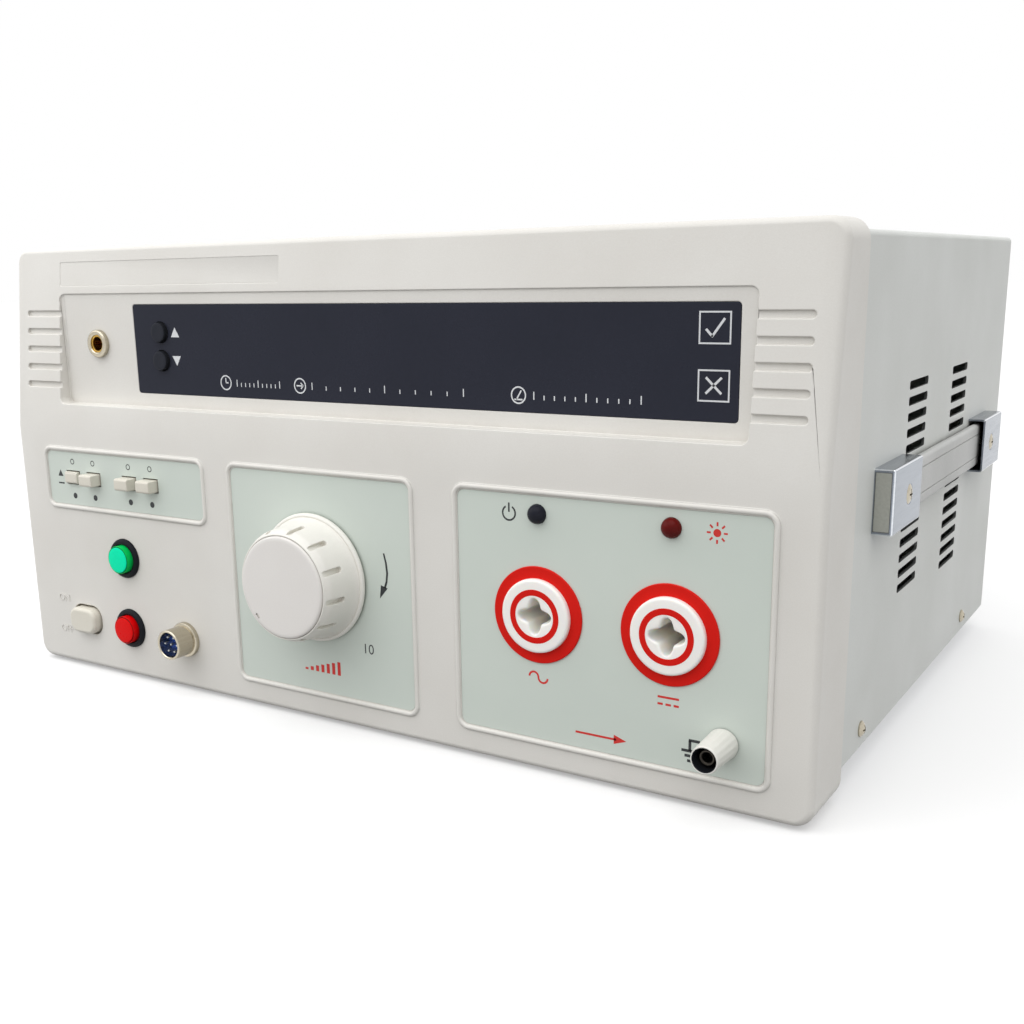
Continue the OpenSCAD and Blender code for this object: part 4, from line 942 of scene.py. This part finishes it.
# %% Output sockets
LOBES, THROAT_Y, THROAT_R = 4, -2.6, 8
insulator_rings = [(5.3, 1.4, 28), (5.7, 1.5, -1.8), (5.8, 1.5, -2.35), (6.05, 1.48, -2.75), (6.4, 1.4, -3.0),
                   (6.8, 1.25, -3.1), (8.6, 0, -3.1), (13.9, 0, -3.1), (14.6, 0, -3.0), (15.05, 0, -2.6),
                   (15.2, 0, -2.0), (15.2, 0, -0.75), (13, 0, -0.75), (13, 0, 38)]


def grown(rings, x, z, steps=96):
    """Grows a disc through rings of (radius, rise of the lobes, depth) and closes the end."""
    bm = bmesh.new()
    bmesh.ops.create_circle(bm, cap_ends=True, segments=steps, radius=1,
                            matrix=Matrix.Translation((x, 0, z)) @ Matrix.Rotation(math.pi / 2, 4, "X"))
    verts, edges = bm.verts[:], bm.edges[:]
    for number, (radius, rise, depth) in enumerate(rings):
        if number:
            geom = bmesh.ops.extrude_edge_only(bm, edges=edges)["geom"]
            verts = [g for g in geom if isinstance(g, bmesh.types.BMVert)]
            edges = [g for g in geom if isinstance(g, bmesh.types.BMEdge)
                     and all(v in verts for v in g.verts)]
        for v in verts:
            turn = math.atan2(v.co.z - z, v.co.x - x)
            reach = radius + rise * math.cos(LOBES * turn)
            v.co = (x + reach * math.cos(turn), depth, z + reach * math.sin(turn))
    bmesh.ops.edgeloop_fill(bm, edges=edges)
    return bm


SOCKETS = {name: middle_of(name) for name in ("ac_socket", "dc_socket")}
for name, spot in SOCKETS.items():
    insulator = grown(insulator_rings, *spot)
    # The plug opening takes the lighter copy of the insulator: painted light in the hole.
    second_finish(insulator, lambda mid: mid.y > THROAT_Y and off_axis(mid, spot) < THROAT_R)
    place(insulator, name + "_insulator", "case", "white_insulator", name, extra=(FINISH["socket_throat_lit"],))

# %% [markdown]
# The red disc behind each socket and the red ring in its flange are thin rings. They could be painted
# on, but the real ones have an edge, so their sections are turned, once for each socket.

# %% Socket discs and rings
disc = [(13.35, 0.08), (13.35, -0.7), (19.7, -0.7), (20, -0.45), (20, 0.08)]
band = [(8.6, -2.65), (8.6, -3.14), (8.75, -3.18), (11.0, -3.18), (11.1, -3.14), (11.1, -2.65)]
for name, section, node in (("red_disc_pair", disc, "socket_discs"), ("red_band_pair", band, "socket_rings")):
    place(join(*(ring(section, *spot, 96) for spot in SOCKETS.values())), name, "case", "red_disc", node)

# %% [markdown]
# ## The earth post
# A white sleeve that tapers to its mouth, with faint ribs for the fingers and a black lining. Ribs
# could be modelled one by one, but a slight ripple of the turned surface looks the same. The lining
# takes a second finish, and a metal bush inside it takes the plug. The front of the bush, deep in
# the sleeve, takes a dark metal as painted shade.

# %% Earth post
POST, LINING_R, LIP_Y = middle_of("earth_sleeve"), 4.7, -18.2
RIBS, RIB_DEPTH, RIB_ENDS, RIB_FROM = 16, 0.012, (-16.5, -2.0), 4.9
sleeve_section = [(3.1, -0.25), (6.1, -0.25), (6.2, -0.6)] + [
    (6.2 - 0.75 * t, -0.6 - 16.9 * t) for t in (0.15, 0.3, 0.45, 0.6, 0.75, 0.9)] + [
    (5.45, -17.6), (5.35, -18.1), (5.1, -18.4), (4.8, -18.35), (4.55, -18.0), (4.5, -5), (3.1, -5)]
sleeve = ring(sleeve_section, *POST, steps=96)
for v in sleeve.verts:
    dx, dz = v.co.x - POST[0], v.co.z - POST[1]
    if RIB_ENDS[0] < v.co.y < RIB_ENDS[1] and math.hypot(dx, dz) > RIB_FROM:
        ripple = 1 - RIB_DEPTH * (1 + math.cos(RIBS * math.atan2(dz, dx)))
        v.co.x, v.co.z = POST[0] + dx * ripple, POST[1] + dz * ripple
second_finish(sleeve, lambda mid: off_axis(mid, POST) < LINING_R and mid.y > LIP_Y)
place(sleeve, "earth_grip", "earth_sleeve_body", "post_plastic", "earth_sleeve",
      extra=(FINISH["black_plastic"],))
contact_section = [(2, -15.1), (2.3, -15.4), (2.8, -15.4), (3, -15.1), (3, 3), (5.5, 3), (5.5, 4.2), (3, 4.2),
                   (3, 16), (0, 16), (0, -0.4), (2, -0.4)]
bush = ring(contact_section, *POST)
# The front of the bush, seen deep in the sleeve, is painted dark as shade.
second_finish(bush, lambda mid: mid.y < -1)
place(bush, "earth_bush", "case", "nickel", "earth_contact", extra=(FINISH["dark_metal"],))

# %% [markdown]
# ## The sheet case
# The cover is a merged copy too. Its vent slots were punched, so their corners are rounded, which a
# bevel of the short edges does without cutting the slots again. The cut edge inside each slot takes a
# darker second finish: the bare sheet edge, darkened further as painted shade.

# %% Cover
CASE_SIDE = round(panel_box("top_cover")[1].x, 2)
SLOT_ROUND, SHEET, SLOT_AREA = 1.2, 1.2, 80
cover = copy_of("top_cover")
round_edges(cover, SLOT_ROUND, segments=4, angle=60, where=lambda mid, edge: abs(mid.x) > CASE_SIDE - SHEET
            and abs(abs(edge.verts[0].co.x - edge.verts[1].co.x) - SHEET) < 0.05)
# Slot edges take the dark finish: bare sheet edge and painted shade.
for face in cover.faces:
    mid = face.calc_center_median()
    inside = abs(face.normal.x) < 0.1 and abs(abs(mid.x) - CASE_SIDE + SHEET / 2) < 0.1
    face.material_index = int(inside and face.calc_area() < SLOT_AREA)
place(cover, "case_cover", "case", "case_paint", "top_cover", extra=(FINISH["sheet_edge_shade"],), turn_out=False)

# %% [markdown]
# ## Strap handles
# The end caps are pressed and chromed sheet. Folding a flat sheet would need each bend worked out, so
# a block is rounded, its back and its mouth are taken off, and what is left is given the sheet's
# thickness. The end is set in a little, where the fold closes, and the screw sits in a dimple. The end
# face takes a duller metal as a painted dim reflection, and the step of the fold is painted dark as
# shade. The rounded edges take a brighter chrome as a painted highlight, and the inside is painted
# dark as shade.

# %% Handle caps
CAP_OUT, HANDLE_Z, HANDLE_MID = 8.0, middle_of("right_handle_caps")[1], 168.0
CAP_Y, CAP_HALF_H, CAP_SHEET, CAP_SCREW_Y = (62.0, 104.0), 13.0, 0.8, 85.5
# After the chrome: a painted dim reflection for the end, painted shade for the fold and the inside, a painted
# highlight for the edges.
CAP_END_DIM_REFLECTION, CAP_FOLD_SHADE, CAP_EDGE_HIGHLIGHT, CAP_INSIDE_SHADE = 1, 2, 3, 4     # finishes after the chrome
AT_CAP_SCREW = (Matrix.Translation((CASE_SIDE + CAP_OUT, CAP_SCREW_Y, HANDLE_Z))
                @ Matrix.Rotation(math.radians(-90), 4, "Z"))
MIRROR_X = Matrix.Scale(-1, 4, (1, 0, 0))
MIRROR_Y = Matrix.Translation((0, 2 * HANDLE_MID, 0)) @ Matrix.Scale(-1, 4, (0, 1, 0))


def handle_cap():
    """The front cap of the right-hand side."""
    outer = CASE_SIDE + CAP_OUT
    bm = block((CASE_SIDE, CAP_Y[0], HANDLE_Z - CAP_HALF_H), (outer, CAP_Y[1], HANDLE_Z + CAP_HALF_H))
    round_edges(bm, 1.0, segments=4, angle=60,
                where=lambda mid, edge: mid.x > CASE_SIDE + 0.1 and mid.y < CAP_Y[1] - 0.1)
    bm.normal_update()
    # Faces of the rounded edges take a brighter chrome: a painted highlight.
    for face in bm.faces:
        face.material_index = 0 if max(abs(part) for part in face.normal) > 0.95 else CAP_EDGE_HIGHLIGHT
    end = min(bm.faces, key=lambda f: f.calc_center_median().y)
    bmesh.ops.inset_individual(bm, faces=[end], thickness=0.5, depth=0)
    # The step of the fold is painted dark as shade, and the end face takes a duller metal as a painted dim
    # reflection.
    for face in bmesh.ops.inset_individual(bm, faces=[end], thickness=0.3, depth=-0.35)["faces"]:
        face.material_index = CAP_FOLD_SHADE
    end.material_index = CAP_END_DIM_REFLECTION
    mouth = max(bm.faces, key=lambda f: f.calc_center_median().y)
    back = min(bm.faces, key=lambda f: f.calc_center_median().x)
    bmesh.ops.delete(bm, geom=[mouth, back], context="FACES")
    bmesh.ops.recalc_face_normals(bm, faces=bm.faces)
    bmesh.ops.solidify(bm, geom=bm.faces[:], thickness=CAP_SHEET)
    # The faces inside the cap are painted dark as shade.
    skin = 0.7 * CAP_SHEET
    second_finish(bm, lambda mid: mid.x < outer - skin and mid.y > CAP_Y[0] + skin
                  and abs(mid.z - HANDLE_Z) < CAP_HALF_H - skin, CAP_INSIDE_SHADE)
    dimple = turned([(0, -3.2), (2.1, -3.2), (2.1, -2.1), (4.1, -0.2), (4.7, 0.02), (4.7, 1), (0, 1)],
                    0, 0, 48)
    dimple.transform(AT_CAP_SCREW)
    return carved(bm, dimple)


def front_and_rear(make, side):
    """A piece at the front of one side and its mirror image at the rear."""
    front, rear = make(), make()
    rear.transform(MIRROR_Y)
    pair = join(front, rear)
    if side == "left":
        pair.transform(MIRROR_X)
    return pair


for side in ("right", "left"):
    # Chrome, then the painted dim reflection, the painted shade of the fold, the painted highlight and the
    # painted shade inside.
    place(front_and_rear(handle_cap, side), side + "_cap_pair", "case", "chrome", side + "_handle_caps",
          extra=[FINISH[name] for name in ("cap_end_dim_reflection", "sheet_edge_shade", "chrome_edge_highlight", "black_plastic")])

# %% [markdown]
# An oval-head screw with a cross recess holds each cap. The head is turned and two thin blocks cut the
# cross. One is made for the front right, then mirrored to the other ends.

# %% Handle screws
def oval_screw():
    """A small raised screw with a cross recess, in a cap's dimple."""
    head = turned([(0, 0.78), (1.6, 0.68), (2.8, 0.42), (3.6, 0.1), (4.0, -0.2), (2.0, -2.1), (2.0, -15),
                   (0, -15)], 0, 0, 40)
    bm = carved(head, block((-2.1, -0.8, -0.4), (2.1, 1, 0.4)))
    bm = carved(bm, block((-0.4, -0.8, -2.1), (0.4, 1, 2.1)))
    bm.transform(AT_CAP_SCREW)
    return bm


screws = join(front_and_rear(oval_screw, "right"), front_and_rear(oval_screw, "left"))
place(screws, "handle_screw_heads", "case", "nickel", "handle_screws")

# %% [markdown]
# Each strap is one soft band from cap to cap, with a rolled edge above and below and a pressed
# line beside each roll. It is cut into short lengths, and it stands for both halves of the CAD strap.

# %% Straps
STRAP_X, STRAP_T, STRAP_HALF_H, STRAP_REACH = 214.3, 4.0, 10.5, 70.0
LINE_Z, LINE_W, LINE_DEPTH = 5.6, 0.35, 0.55
CUTS, CUT_STEP = 15, 4


def slice_at(bm, spot, normal):
    """Cuts every face of bm along a plane."""
    bmesh.ops.bisect_plane(bm, geom=bm.verts[:] + bm.edges[:] + bm.faces[:], dist=0.0001,
                           plane_co=spot, plane_no=normal)


def strap(side):
    """One carrying strap, straight, with its rolled edges and pressed lines."""
    bm = block((STRAP_X, HANDLE_MID - STRAP_REACH, HANDLE_Z - STRAP_HALF_H),
               (STRAP_X + STRAP_T, HANDLE_MID + STRAP_REACH, HANDLE_Z + STRAP_HALF_H))
    round_edges(bm, 1.7, segments=5, angle=60, where=along("y"))
    for s in (-1, 1):
        for offset in (-LINE_W, 0, LINE_W):
            slice_at(bm, (0, 0, HANDLE_Z + s * (LINE_Z + offset)), (0, 0, 1))
        for v in bm.verts:
            if abs(v.co.z - HANDLE_Z - s * LINE_Z) < 0.01 and v.co.x > STRAP_X + 1:
                v.co.x -= LINE_DEPTH
    for i in range(-CUTS, CUTS + 1):
        slice_at(bm, (0, HANDLE_MID + i * CUT_STEP, 0), (0, 1, 0))
    if side == "left":
        bm.transform(MIRROR_X)
    return bm


for side, sign in (("right", 1), ("left", -1)):
    band = place(strap(side), side + "_strap_band", None, "strap_grey",
                 side + "_strap_front", side + "_strap_rear")
    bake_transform(band)

# %% [markdown]
# ## Back and feet
# The rear plate, the inlet and the fuse holder keep their CAD shapes, and the rubber feet are softened
# where they meet the bench. They differ only in how far their edges are eased, so one loop makes them.

# %% Rear pieces and feet
for node, name, body, slot, width in (
        ("mains_inlet", "inlet_body", "case", "black_plastic", 0.5),
        ("fuse_holder", "fuse_body", "case", "black_plastic", 0.4),
        ("fuse_cap", "fuse_cap_grip", "fuse_cap_body", "black_plastic", 0.4),
        ("rear_panel", "rear_plate", "case", "case_paint", 0.25),
        ("rubber_feet", "feet", "case", "rubber", 0.8)):
    place(round_edges(copy_of(node), width, angle=40), name, body, slot, node)

# %% [markdown]
# ## Printed and moulded marks
# The panel carries thin screen print. Only plain, generic marks are used: arrows, scales, a number
# and circuit signs. A texture could carry them, but flat meshes a hair in front of the surface stay
# sharp at any distance, one mesh for each ink.

# %% Inks
INK_LIFT = 0.03


def ink(name, light, dark):
    """Screen print: slightly uneven, a little duller than what it lies on."""
    return skinned(name, light, dark, (0.4, 0.6), 2200, 0.000008)


def white_ink():
    return ink("white_ink", (226, 228, 230), (206, 208, 212))


def black_ink():
    return ink("black_ink", (38, 42, 44), (26, 30, 32))


def red_ink():
    return ink("red_ink", (212, 48, 40), (198, 36, 30))


add_finishes(white_ink, black_ink, red_ink)

# %% [markdown]
# Straight marks are flat shapes through a few points, arcs are spun from a short edge, and text is
# made as a curve and turned into a mesh before it is put in its place.

# %% Mark helpers
def flat(points, y):
    """A flat shape through a few (x, z) points."""
    bm = bmesh.new()
    bm.faces.new([bm.verts.new((x, y, z)) for x, z in points])
    return bm


def bar(x0, z0, x1, z1, y):
    """A flat rectangle."""
    return flat([(x0, z0), (x1, z0), (x1, z1), (x0, z1)], y)


def stroke(start, end, width, y):
    """A straight line of some width."""
    a, b = Vector(start), Vector(end)
    side = (b - a).normalized().orthogonal() * width / 2
    return flat([a + side, b + side, b - side, a - side], y)


def arc(x, z, radius, width, start, sweep, y, steps=32):
    """Part of a flat ring; angles in degrees, anticlockwise from the right."""
    bm = bmesh.new()
    turn = math.radians(start)
    tips = [bm.verts.new((x + r * math.cos(turn), y, z + r * math.sin(turn)))
            for r in (radius - width / 2, radius + width / 2)]
    bmesh.ops.spin(bm, geom=tips + [bm.edges.new(tips)], cent=(x, y, z), axis=(0, -1, 0),
                   angle=math.radians(sweep), steps=steps, use_merge=sweep >= 360)
    return bm


def frame_box(x0, z0, x1, z1, width, y):
    """A flat rectangular outline."""
    low, high = z0 + width, z1 - width
    return join(bar(x0, z0, x1, low, y), bar(x0, high, x1, z1, y),
                bar(x0, low, x0 + width, high, y), bar(x1 - width, low, x1, high, y))


def lettered(text, size, x, z, y, depth=0.0):
    """A short text as a mesh, centred at (x, z)."""
    words = bpy.data.curves.new("words", "FONT")
    words.body, words.size, words.extrude = text, size, depth
    words.align_x, words.align_y = "CENTER", "CENTER"
    holder = bpy.data.objects.new("words", words)
    bpy.context.collection.objects.link(holder)
    mesh = bpy.data.meshes.new_from_object(holder.evaluated_get(bpy.context.evaluated_depsgraph_get()))
    mesh.transform(Matrix.Translation((x, y, z)) @ Matrix.Rotation(math.radians(90), 4, "X"))
    bm = bmesh.new()
    bm.from_mesh(mesh)
    bpy.data.objects.remove(holder)
    return bm


print("mark helpers ready")

# %% [markdown]
# On the window, white print points at the timer buttons, frames a pass and a fail box, and gives each
# of the three readings a small sign and a plain scale.

# %% Window marks
ON_WINDOW = WINDOW_FRONT - INK_LIFT
SIGN_Z, SIGN_R = 154.0, 3.2


def scale_marks(x0, x1, z, y, steps=10):
    """A plain scale: short strokes with a longer one at each end and in the middle."""
    return [bar(x - 0.25, z - 1.6, x + 0.25, z + (1.6 if i % 5 == 0 else 0.2), y)
            for i, x in ((i, x0 + (x1 - x0) * i / steps) for i in range(steps + 1))]


def dial_sign(x, strokes):
    """A small ring on the window with a few strokes inside it."""
    lines = [stroke((x + a, SIGN_Z + b), (x + c, SIGN_Z + d), 0.6, ON_WINDOW) for a, b, c, d in strokes]
    return [arc(x, SIGN_Z, SIGN_R, 0.6, 0, 360, ON_WINDOW), *lines]


clock = dial_sign(-70, [(0, 0, 0, 2.2), (0, 0, 1.6, 0)])
flow = dial_sign(-25, [(-2.0, 0, 1.9, 0), (1.9, 0, 0.5, 1.3), (1.9, 0, 0.5, -1.3)])
needle = dial_sign(88, [(-0.9, -1.7, 1.3, 1.9), (-1.9, -1.7, 1.9, -1.7)])
scales = [mark for x0, x1 in ((-63, -37), (-18, 62), (95, 141))
          for mark in scale_marks(x0, x1, SIGN_Z, ON_WINDOW)]
window_marks = join(
    flat([(-104, 174.4), (-98.4, 174.4), (-101.2, 179)], ON_WINDOW),
    flat([(-104, 165.6), (-98.4, 165.6), (-101.2, 161)], ON_WINDOW),
    frame_box(163.1, 174.9, 175.3, 186.5, 0.6, ON_WINDOW),
    frame_box(163.1, 154.5, 175.3, 166, 0.6, ON_WINDOW),
    stroke((165.8, 180.2), (168.4, 177.5), 0.9, ON_WINDOW),
    stroke((168.0, 177.4), (172.8, 184.0), 0.9, ON_WINDOW),
    stroke((166.2, 157.4), (172.2, 163.2), 0.9, ON_WINDOW),
    stroke((166.2, 163.2), (172.2, 157.4), 0.9, ON_WINDOW),
    *clock, *flow, *needle, *scales)
place(window_marks, "window_print", "case", "white_ink")

# %% [markdown]
# On the label plates, black print marks the range buttons' two positions, the knob's turn, the power
# lamp and the earth post.

# %% Black marks
ON_PLATE = PLATE_FRONT - INK_LIFT
range_marks = []
for number in range(1, 5):
    x = middle_of(f"range_button_{number}")[0]
    range_marks += [arc(x, 111.3, 1.25, 0.45, 0, 360, ON_PLATE), arc(x, 93.6, 0.75, 1.5, 0, 360, ON_PLATE)]
arrow = [flat([(24.1, 84.6), (24.9, 84.8), (26.1, 80.6), (26.6, 75.9), (26.0, 71.8), (25.0, 69.0),
               (24.0, 69.4), (25.1, 72.4), (25.5, 76.0), (25.1, 80.4)], ON_PLATE),
         flat([(22.4, 70.3), (26.0, 69.2), (21.6, 64.1)], ON_PLATE)]
EARTH, EARTH_W = (167.0, 23.2), 1.15
earth = [stroke((EARTH[0] + a, EARTH[1] + b), (EARTH[0] + c, EARTH[1] + d), EARTH_W, ON_PLATE)
         for a, b, c, d in ((4.0, 4.3, -0.5, 4.3), (0, 4.3, 0, 0), (-3.4, 0, 3.6, 0),
                            (-2.1, -2.0, 2.5, -2.0), (-1.0, -4.0, 1.4, -4.0))]
power_sign = [arc(88, 108.2, 2.9, 0.75, 120, 300, ON_PLATE), stroke((88, 108.6), (88, 112.4), 0.75, ON_PLATE)]
black_marks = join(*range_marks, *arrow, *earth, *power_sign, lettered("10", 6.5, 14, 39.6, ON_PLATE),
                   stroke((-186.2, 99.6), (-181.8, 99.6), 0.8, ON_PLATE),
                   flat([(-186, 103.2), (-182, 103.2), (-184, 106.6)], ON_PLATE))
place(black_marks, "black_print", "case", "black_ink")

# %% [markdown]
# Red print belongs to the high voltage: the signs for alternating and direct current, an arrow to the
# outputs, a lamp sign and rising bars under the knob.

# %% Red marks
def wave(x, z, y):
    """The sign for alternating current: two half circles."""
    return [arc(x - 2.1, z, 2.1, 0.85, 0, 180, y, 16), arc(x + 2.1, z, 2.1, 0.85, 180, 180, y, 16)]


direct = [bar(153.4, 42.4, 162.2, 43.3, ON_PLATE)]
direct += [bar(x, 39.6, x + 2.2, 40.5, ON_PLATE) for x in (153.4, 156.7, 160.0)]
GLOW_X, GLOW_Z = 175.5, 108.7
rays = [stroke((GLOW_X + 2.5 * c, GLOW_Z + 2.5 * d), (GLOW_X + 4 * c, GLOW_Z + 4 * d), 0.7, ON_PLATE)
        for c, d in ((math.cos(a), math.sin(a)) for a in (math.radians(45 * i) for i in range(8)))]
rising = [bar(-23.5 + 3.2 * i, 24.5, -21.7 + 3.2 * i, 25.5 + 0.9 * i, ON_PLATE) for i in range(7)]
out_arrow = [bar(118, 21.1, 136, 22.0, ON_PLATE), flat([(135, 19.6), (135, 23.5), (140.5, 21.55)], ON_PLATE)]
red_marks = join(*wave(SOCKETS["ac_socket"][0], 41.5, ON_PLATE), *direct, *out_arrow, *rays, *rising,
                 arc(GLOW_X, GLOW_Z, 0.75, 1.5, 0, 360, ON_PLATE))
place(red_marks, "red_print", "case", "red_ink")

# %% [markdown]
# The mains switch has its two positions moulded into the panel, so these words are solid and take the
# panel's own finish.

# %% Moulded words
MOULD_Y, MOULD_DEPTH = -0.12, 0.15
words = join(lettered("ON", 5.6, -191, 36.8, MOULD_Y, MOULD_DEPTH),
             lettered("OFF", 5.6, -191.2, 19.6, MOULD_Y, MOULD_DEPTH))
place(words, "switch_words", "case", "bezel_plastic")
